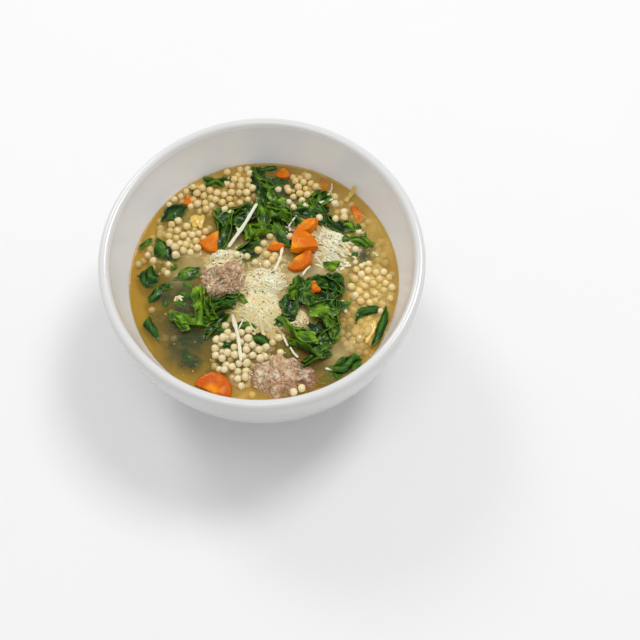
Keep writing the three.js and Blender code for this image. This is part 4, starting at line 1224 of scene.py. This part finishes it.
def leaf_shape(spec, seed, folds, pucker, sink, dip=0.0, under=None):
    """A wilted leaf, thin, pleated, puckered and folded, with its values: rib and painted edge light,
    painted light by height, and tint.
    """
    rng = np.random.default_rng(seed)
    length, width = spec["length"] * (1 + 0.1 * folds), spec["width"] * (1 + 0.34 * folds)
    cells = int(np.clip(max(length, width) * 1.7, 14, 34))
    a, b = disc_grid(cells)
    around = np.arctan2(b, a)
    reach = known_edge(around, spec) if spec["corners"] else torn_edge(around, int(rng.integers(4, 7)), rng)
    reach = reach * (1 + 0.04 * ripple(np.stack([a, b], axis=-1), 0.35, seed + 3) * np.hypot(a, b) ** 4)
    u, v, out = a * reach, b * reach, np.hypot(a, b)
    x, y = u * length / 2, v * width / 2
    wander = 0.45 * np.sin(math.pi * (u + 1) + spec["phase"])
    fold = math.pi * spec["pleats"] * (v + wander) + spec["phase"]
    along = 0.75 + 0.25 * np.cos(1.5 * math.pi * (u + 1) + 2 * spec["phase"])
    calm = 1 if folds == 0 else 0.45
    ridge = 0.3 * (0.5 + 0.5 * np.cos(fold)) + 0.7 * (1 - np.abs(np.sin(fold / 2))) ** 1.3
    pleat = calm * spec["rise"] * ridge * along * (1 - 0.35 * v * v)
    flat = np.stack([x, y], axis=-1)
    branch = np.abs(x - np.abs(y) * 0.9)
    side_veins = np.exp(-((np.sin(branch * math.pi / 3.0) / 0.22) ** 2)) * np.clip(1.4 - out, 0, 1)
    rib = np.exp(-((y / (0.25 + 0.02 * width)) ** 2)) * np.clip(0.9 - u * 0.7, 0, 1)
    crease = 1 - np.abs(ripple(flat, 3.6, seed + 4))
    bulge = 0.22 * ripple(flat, 6.2, seed + 1) + 0.05 * ripple(flat, 2.4, seed + 2)
    bulge += 0.06 * np.maximum(crease, 0)
    z = pleat + pucker * (bulge - 0.07 * side_veins - 0.16 * rib)
    z = z + rng.uniform(-0.2, 0.9) * pucker * out**6 - dip * out**3
    y = y + calm * 0.22 * spec["rise"] * np.sin(fold)
    points = np.stack([x, y, z], axis=-1).reshape(-1, 3)
    # Painted light and shade: the higher parts of a leaf are painted lighter, the lower parts darker.
    lit = np.clip(0.4 + 0.5 * (z - z.mean()) / max(float(z.std()), 0.1), 0.0, 1)
    for k in range(folds):
        across = k == 2
        sign = 1 if k % 2 == 0 else -1
        way = rng.uniform(-0.4, 0.4) + (math.pi / 2 if across else 0)
        size = length if across else width
        start = rng.uniform(0.16, 0.3) * size
        if sign < 0 or across:
            way += math.pi
        points = folded(points, way, start, rng.uniform(1.5, 2.9), rng.uniform(0.32, 0.6))
    turn, bend = math.radians(spec["turn"]), math.radians(spec["bend"])
    along_rib = points[:, 0] / spec["length"]
    way = turn + bend * along_rib
    if abs(bend) > 0.01:
        rib_x = spec["length"] / bend * (np.sin(way) - math.sin(turn))
        rib_y = spec["length"] / bend * (math.cos(turn) - np.cos(way))
    else:
        rib_x, rib_y = points[:, 0] * math.cos(turn), points[:, 0] * math.sin(turn)
    placed = points.copy()
    placed[:, 0] = spec["at"][0] + rib_x - points[:, 1] * np.sin(way)
    placed[:, 1] = spec["at"][1] + rib_y + points[:, 1] * np.cos(way)
    placed[:, 2] += AFLOAT + LEAF_THICKNESS / 2 + spec["lift"] - sink
    if under is not None:
        placed[:, 2] += under(placed[:, 0], placed[:, 1])
    sheet = placed.reshape(cells + 1, cells + 1, 3)
    du, dv = np.gradient(sheet, axis=0), np.gradient(sheet, axis=1)
    normal = np.cross(du, dv)
    normal /= np.maximum(np.linalg.norm(normal, axis=-1, keepdims=True), 1e-9)
    shape = sheet_solid(sheet + normal * LEAF_THICKNESS / 2, sheet - normal * LEAF_THICKNESS / 2)
    tint = rng.uniform(0, 0.6) if spec["tint"] is None else spec["tint"]
    tint = np.full_like(u, tint)
    rib = spec["ribbed"] * np.maximum(rib, side_veins * 0.4)
    # The first value is the rib and, along the outline, painted light through the thin edge; the second is
    # painted light by height.
    values = np.stack([np.maximum(rib, 0.5 * out**14), lit, tint], axis=-1).reshape(-1, 3)
    return shape, np.vstack([values, values])


def dome(at, radii, height, base, seed, relief=0.4, bottom=0.0, segments=40):
    """A low lumpy mound on a flat base."""
    angles = np.linspace(0, math.pi / 2, 12)
    profile = [(0, bottom), (1.0, bottom)] + [(math.cos(a), math.sin(a)) for a in angles[:-1]] + [(0, 1.0)]
    points, faces = turned(profile, segments)
    upper = np.clip(points[:, 2], 0, 1)
    made = np.stack([at[0] + points[:, 0] * radii[0], at[1] + points[:, 1] * radii[1], points[:, 2]], axis=1)
    made[:, 2] = np.where(points[:, 2] <= 0, base + points[:, 2], base + upper * height)
    made[:, 2] += relief * ripple(made[:, :2], 4.5, seed) * upper
    return made, faces


def scrap_of(spec, rng):
    """A smaller leaf that lies loosely over another one."""
    turn = math.radians(spec["turn"])
    step, slip = rng.uniform(-0.35, 0.35) * spec["width"], rng.uniform(-0.25, 0.25) * spec["length"]
    scrap = dict(spec)
    scrap["at"] = (
        spec["at"][0] - step * math.sin(turn) + slip * math.cos(turn),
        spec["at"][1] + step * math.cos(turn) + slip * math.sin(turn),
    )
    scrap["length"], scrap["width"] = spec["length"] * 0.6, spec["width"] * 0.75
    scrap["turn"] = spec["turn"] + rng.uniform(-50, 50)
    scrap["lift"] = spec["lift"] + rng.uniform(-0.4, 1.1)
    scrap["phase"] = rng.uniform(0, 6.3)
    return scrap


def leaf_piece(name, made, nodes=()):
    """One piece of the scene from (shape, values) pairs."""
    shapes, values = zip(*made)
    add_piece(name, joined(shapes), ["leaf"], nodes, values=("leaf", np.vstack(values)))


def spinach():
    for number, (node, clump) in enumerate(CLUMPS.items()):
        rng = np.random.default_rng(300 + number)
        made = []
        for at, radii in clump["cores"]:
            shape = dome(at, radii, 2.0, -1.5, 70 + number, bottom=-1.5)
            # Painted shade: the mound under a clump gets a low painted light.
            made.append((shape, np.tile((0, 0.2, 0.1), (len(shape[0]), 1))))

        def mound(x, y, cores=clump["cores"]):
            insides = [1 - ((x - c[0]) / r[0]) ** 2 - ((y - c[1]) / r[1]) ** 2 for c, r in cores]
            return np.max([1.5 * np.maximum(inside, 0) for inside in insides], axis=0)

        leaves = [(spec, int(rng.integers(1, 3))) for spec in clump["leaves"]]
        for spec in clump["leaves"][::clump.get("scraps", 1)]:
            leaves.append((scrap_of(spec, rng), int(rng.integers(0, 3))))
        for k, (spec, folds) in enumerate(leaves):
            seed = 400 + 40 * number + k
            shape, values = leaf_shape(spec, seed, folds, pucker=0.75, sink=0.5, under=mound)
            # Painted shade: the lower a clump's leaf lies, the darker it is painted.
            values[:, 1] *= np.clip((shape[0][:, 2] + 0.2) / 2.6, 0.2 + 0.6 * (spec["tint"] or 0), 1)
            made.append((shape, values))
        leaf_piece(node + "_leaves", made, [node])
    for k, spec in enumerate(LEAVES):
        made = [leaf_shape(spec, 600 + k, 0, pucker=0.8, sink=-0.05, dip=0.5)]
        leaf_piece(spec["name"] + "_blade", made, [spec["name"]])
    made = []
    for k, spec in enumerate(SUNK_LEAVES):
        made.append(leaf_shape(spec, 700 + k, 0, pucker=0.8, sink=0.0, dip=0.4))
    leaf_piece("leaves_sunk", made)


# Cheese


def cheese_heap(spec):
    """A melting mound of shreds that run out over the broth."""
    rng = np.random.default_rng(spec["seed"])
    domes, seed = spec["domes"], spec["seed"]
    fall, share, sag = (1.2, 0.62, 0.12) if spec["open"] else (0.7, 0.94, 0.4)

    def surface(x, y):
        high = 0.0
        for at, radii, height in domes:
            inside = 1 - ((x - at[0]) / radii[0]) ** 2 - ((y - at[1]) / radii[1]) ** 2
            high = max(high, (height - 0.6) * max(inside, 0) ** fall)
        for meat in MEATBALLS:
            (mx, my, mz), (a, b, c) = meat["at"], meat["radii"]
            inside = 1 - ((x - mx) / a) ** 2 - ((y - my) / b) ** 2
            high = max(high, mz + (c - 0.2) * math.sqrt(max(inside, 0)))
        return high

    shapes = []
    under = 0
    for number, (at, radii, height) in enumerate(domes):
        base = (radii[0] * share, radii[1] * share)
        rise = 0.45 * height if spec["open"] else height - 0.42
        points, faces = dome(at, base, rise, -0.5, seed + number, 0.3, -0.8, 110)
        upper = np.clip((points[:, 2] + 0.4) / 1.5, 0, 1)
        points[:, 2] += (0.2 * ripple(points, 2.2, seed + 7) + 0.1 * ripple(points, 0.9, 9)) * upper
        shapes.append((points, faces))
        under += len(faces)
    for i in range(spec["shreds"]):
        at, radii, flow, scatter, long = spec["spread"][i % len(spec["spread"])]
        x, y = place_in(at, radii, rng.uniform() ** 0.55, rng)
        way, half = math.radians(flow + scatter * rng.normal()), long * rng.uniform(0.4, 1.1)
        bow, lift = rng.normal() * 0.8, 0.5 * rng.uniform() ** 5
        path = []
        for s in (-1, -0.5, 0, 0.5, 1):
            side = bow * (1 - s * s)
            px = x + s * half * math.cos(way) - side * math.sin(way)
            py = y + s * half * math.sin(way) + side * math.cos(way)
            high = surface(px, py)
            path.append((px, py, high - 0.06 + lift - sag * max(1 - high, 0)))
        width = rng.uniform(0.4, 0.8) + 0.13 * long
        shapes.append(strip(path, width, rng.uniform(0.25, 0.4), 11, seed * 50 + i, 0.2))
    whole = joined(shapes)
    places = [int(spec["open"] and k < under) for k in range(len(whole[1]))]
    add_piece(spec["node"] + "_shreds", whole, ["cheese", "veiled"], [spec["node"]], places)


def bowed(start, end, shift):
    """A path between two ends whose middle is shifted off the straight line."""
    return [start, [(a + b) / 2 + off for a, b, off in zip(start, end, shift)], end]


def long_shreds():
    for number, (node, start, end, width, sag) in enumerate(SHREDS):
        shape = strip(bowed(start, end, (0.9, 0, -sag)), 0.95 * width, 0.55, 26, 90 + number)
        add_piece(node + "_strand", shape, ["strand"], [node])


def cheese_bits():
    shapes = []
    for number, (start, end, width) in enumerate(SMALL_SHREDS):
        path = bowed(start, end, (0.5 * math.sin(7 * number), 0.5 * math.cos(7 * number), 0))
        shapes.append(strip(path, 0.8 * width, 0.45, 14, 120 + number))
    add_piece("cheese_bits", joined(shapes), ["strand"])


def cheese_nests():
    shapes = []
    rng = np.random.default_rng(67)
    for at, radii, count in SHRED_NESTS:
        for k in range(count):
            reach = rng.uniform() ** 0.6
            x, y = place_in(at, radii, reach, rng)
            z = 0.15 + 1.3 * (1 - reach**2) * rng.uniform(0.3, 1)
            way, half, bow = rng.uniform(0, math.pi), rng.uniform(1.2, 2.4), rng.normal() * 0.5
            dx, dy = half * math.cos(way), half * math.sin(way)
            path = [(x - dx, y - dy, z - 0.2), (x - bow * dy, y + bow * dx, z), (x + dx, y + dy, z - 0.2)]
            shapes.append(strip(path, rng.uniform(0.6, 1.1), 0.4, 11, 800 + k, 0.2))
    add_piece("cheese_nests", joined(shapes), ["cheese"])


def onions():
    """Strips of onion, a little wider than their nodes because their edges are thin."""
    for number, (node, path, width, thick) in enumerate(ONIONS):
        shape = strip(path, 1.2 * width, thick, 22, 140 + number, 0.18)
        add_piece(node + "_slice", shape, ["onion"], [node])


# Pasta

BESIDE = 1.2  # how close to meat and carrot no pearl lies
LEAF_COVER = 0.85  # the share of a leaf's size that pearls keep clear of
HEAP_BOTTOM = 4.0  # depth of a heap's lowest pearls


def over_carrot(x, y, spec):
    """True where a place lies over a carrot piece or close beside it."""
    along, side = seen_from(spec, x, y)
    along = along + CORE_SETBACK * spec["radius"] + BESIDE
    within = abs(math.degrees(math.atan2(side, along))) < spec["sweep"] / 2
    return within and math.hypot(along, side) < spec["radius"] + 2 * BESIDE


def in_ellipse(x, y, at, radii):
    return math.hypot((x - at[0]) / radii[0], (y - at[1]) / radii[1]) < 1


def over_leaf(x, y, spec):
    along, side = seen_from(spec, x, y)
    return math.hypot(along / (spec["length"] / 2), side / (spec["width"] / 2)) < LEAF_COVER


def taken(x, y, z):
    """True where a pearl would stand in another piece."""
    ellipses = [(s["at"], (s["radii"][0] + BESIDE, s["radii"][1] + BESIDE)) for s in MEATBALLS]
    ellipses += [(at, radii) for heap in CHEESE_HEAPS for at, radii, _ in heap["domes"]]
    ellipses += [core for clump in CLUMPS.values() for core in clump["cores"]]
    leaves = LEAVES + [spec for clump in CLUMPS.values() for spec in clump["leaves"]]
    return (
        any(in_ellipse(x, y, at, radii) for at, radii in ellipses)
        or any(over_carrot(x, y, s) for s in CARROTS if s["at"][2] - s["thick"] / 2 < z + 2)
        or any(over_leaf(x, y, spec) for spec in leaves)
        or math.hypot(x, y) > inner_radius(LEVEL + min(z, 0)) - PEARL_RADIUS - 0.2
    )


def spread(count, at, radii, turn, low, high, size, rng):
    """Random places in a flat heap, pushed apart until the pearls just touch."""
    out = np.sqrt(rng.uniform(size=count))
    around = rng.uniform(0, 2 * math.pi, count)
    x, y = out * radii[0] * np.cos(around), out * radii[1] * np.sin(around)
    places = np.stack([x, y, rng.uniform(low, high, count)], axis=1)
    for _ in range(90):
        gaps = places[:, None] - places[None]
        apart = np.linalg.norm(gaps, axis=-1) + np.eye(count) * 1e3
        push = np.maximum(size - apart, 0) / (2 * apart)
        places += (gaps * push[..., None]).sum(axis=1) * (1, 1, 0.7)
        reach = np.hypot(places[:, 0] / radii[0], places[:, 1] / radii[1])
        places[:, :2] /= np.maximum(reach, 1)[:, None]
        places[:, 2] = np.clip(places[:, 2], low, high)
    return turned_about(places, 2, math.radians(turn)) + (at[0], at[1], 0)


def pearls(name, middles, sizes, seed, nodes=(), more=(), fine=3, white=0.0):
    """Pearls of pasta as one piece: slightly uneven balls."""
    unit, faces = ball(fine)
    rng = np.random.default_rng(seed)
    shapes = list(more)
    for middle, size in zip(middles, sizes):
        uneven = 1 + 0.03 * ripple(unit, 1.3, int(rng.integers(1 << 30)), 4)
        squash = rng.uniform(0.93, 1.04, 3)
        shapes.append((unit * uneven[:, None] * squash * size + middle, faces))
    add_piece(name, joined(shapes), ["pearl"], nodes, values=("pearl", (white, 0, 0)))


def pasta():
    """Every heap of pearls, and the single ones. Gives the pearls that break the surface."""
    floating = []
    for node, at, radii, turn, seed, top, sink, room, white in PASTA_HEAPS:
        rng = np.random.default_rng(seed)
        radii = np.array(radii) - 0.6
        count = int(math.pi * radii[0] * radii[1] / room)
        low, high = -HEAP_BOTTOM - sink, top - sink
        middles, sizes = [], []
        for x, y, z in spread(count, at, radii, turn, low, high, 1.98 * PEARL_RADIUS, rng):
            if not taken(x, y, z):
                middles.append((x, y, z))
                sizes.append(PEARL_RADIUS * rng.uniform(0.9, 1.06))
        floating += [(x, y, z, size) for (x, y, z), size in zip(middles, sizes)]
        core = dome(at, radii - 1.5, 1.2, -3.9 - sink / 2, seed, 0.5, -0.6)
        pearls(node + "_pearls", middles, sizes, seed, [node], [core], white=white)
    middles = []
    for number, (at, radii, count, low, high) in enumerate(SUNK_PEARLS):
        rng = np.random.default_rng(500 + number)
        places = spread(count, at, radii, 0, low, high, 2.1 * PEARL_RADIUS, rng)
        middles += [place for place in places if not taken(*place)]
    pearls("pasta_sunk_pearls", middles, [PEARL_RADIUS * 0.98] * len(middles), 79, fine=2)
    rng = np.random.default_rng(77)
    sizes = [PEARL_RADIUS * rng.uniform(0.92, 1.08) for _ in LOOSE_PEARLS]
    pearls("pasta_loose_pearls", LOOSE_PEARLS, sizes, 78, white=0.4)
    floating += [(x, y, z, size) for (x, y, z), size in zip(LOOSE_PEARLS, sizes)]
    return [(x, y, math.sqrt(size**2 - z**2)) for x, y, z, size in floating if abs(z) < size * 0.95]


# Specks and drops


def pepper():
    """Grains of ground pepper on the cheese, and some on a meatball."""
    spots = [(at, radii, height - 0.1, 0) for heap in CHEESE_HEAPS for at, radii, height in heap["domes"]]
    spots += [((34, 24), (5, 5), 3.1, 0), ((0, 2), (8, 6), 3.6, 0.6)]
    rng = np.random.default_rng(31)
    unit, faces = ball(1)
    shapes = []
    for i in range(100):
        at, radii, height, base = spots[i % len(spots)]
        reach = math.sqrt(rng.uniform()) * 0.9
        x, y = place_in(at, radii, reach, rng)
        z = base + height * math.sqrt(1 - reach * reach)
        grain = rng.uniform(0.18, 0.44) * rng.uniform(0.5, 1.2, 3) * (1, 1, 0.7)
        shapes.append((unit * grain + (x, y, z), faces))
    add_piece("pepper_grains", joined(shapes), ["pepper"])
    rng = np.random.default_rng(33)
    skin = MEAT_SKIN["meatball_left"]
    upper = skin[skin[:, 2] > 2.5]
    shapes = []
    for at in upper[rng.integers(0, len(upper), 40)]:
        shapes.append((unit * rng.uniform(0.16, 0.36) * rng.uniform(0.6, 1.2, 3) + at, faces))
    add_piece("pepper_on_meat", joined(shapes), ["pepper"])


def oil():
    """Flat drops of oil on the broth, most of them near the wall."""
    rng = np.random.default_rng(53)
    shapes = []
    for _ in range(50):
        radius = 66.5 - abs(rng.normal()) * 14
        around = rng.uniform(0, 2 * math.pi)
        x, y = radius * math.cos(around), radius * math.sin(around)
        size = rng.uniform(0.15, 0.7)
        profile = [(0, -0.02), (size * 0.9, -0.02), (size, 0.05)]
        profile += [(size * 0.8, 0.14), (size * 0.4, 0.2), (0, 0.22)]
        points, faces = turned(profile, 20)
        shapes.append((points * (1, rng.uniform(0.8, 1), 1) + (x, y, 0.12), faces))
    add_piece("oil_drops", joined(shapes), ["oil"])


# Picture


def picture():
    bpy.ops.mesh.primitive_plane_add(size=6)
    floor = bpy.context.object
    floor.name = "pale_floor"
    pale, paler = (0.865, 0.865, 0.87), (0.875, 0.875, 0.88)
    paint = two_tone_paint("pale_floor", (160, 3), pale, paler, Roughness=0.6, Specular_IOR_Level=0.1)
    floor.data.materials.append(paint)
    scene = bpy.context.scene
    scene.view_settings.view_transform = "Standard"
    world = bpy.data.worlds.new("studio")
    world.use_nodes = True
    back = world.node_tree.nodes["Background"]
    back.inputs["Color"].default_value = (1, 1, 1, 1)
    back.inputs["Strength"].default_value = WORLD_LIGHT
    scene.world = world
    for name, place, power in LAMPS:
        lamp = bpy.data.lights.new(name, "AREA")
        lamp.size = LAMP_SIDE
        lamp.energy = power
        light = bpy.data.objects.new(name, lamp)
        light.location = place
        scene.collection.objects.link(light)
        aim = light.constraints.new("TRACK_TO")
        target = bpy.data.objects.new(name + "_aim", None)
        target.location = LAMPS_AIM
        scene.collection.objects.link(target)
        aim.target = target
        aim.track_axis = "TRACK_NEGATIVE_Z"
        aim.up_axis = "UP_Y"
    lens = bpy.data.cameras.new("camera")
    lens.lens = LENS
    camera = bpy.data.objects.new("camera", lens)
    camera.location = [c * MM for c in CAMERA_AT]
    camera.rotation_euler = (math.radians(CAMERA_PITCH), 0, 0)
    scene.collection.objects.link(camera)
    scene.camera = camera


picture()
bowl()
broth(pasta())
silt()
for ball_of_meat in MEATBALLS:
    meatball(ball_of_meat)
carrots()
spinach()
for heap_of_cheese in CHEESE_HEAPS:
    cheese_heap(heap_of_cheese)
long_shreds()
cheese_bits()
cheese_nests()
onions()
pepper()
oil()
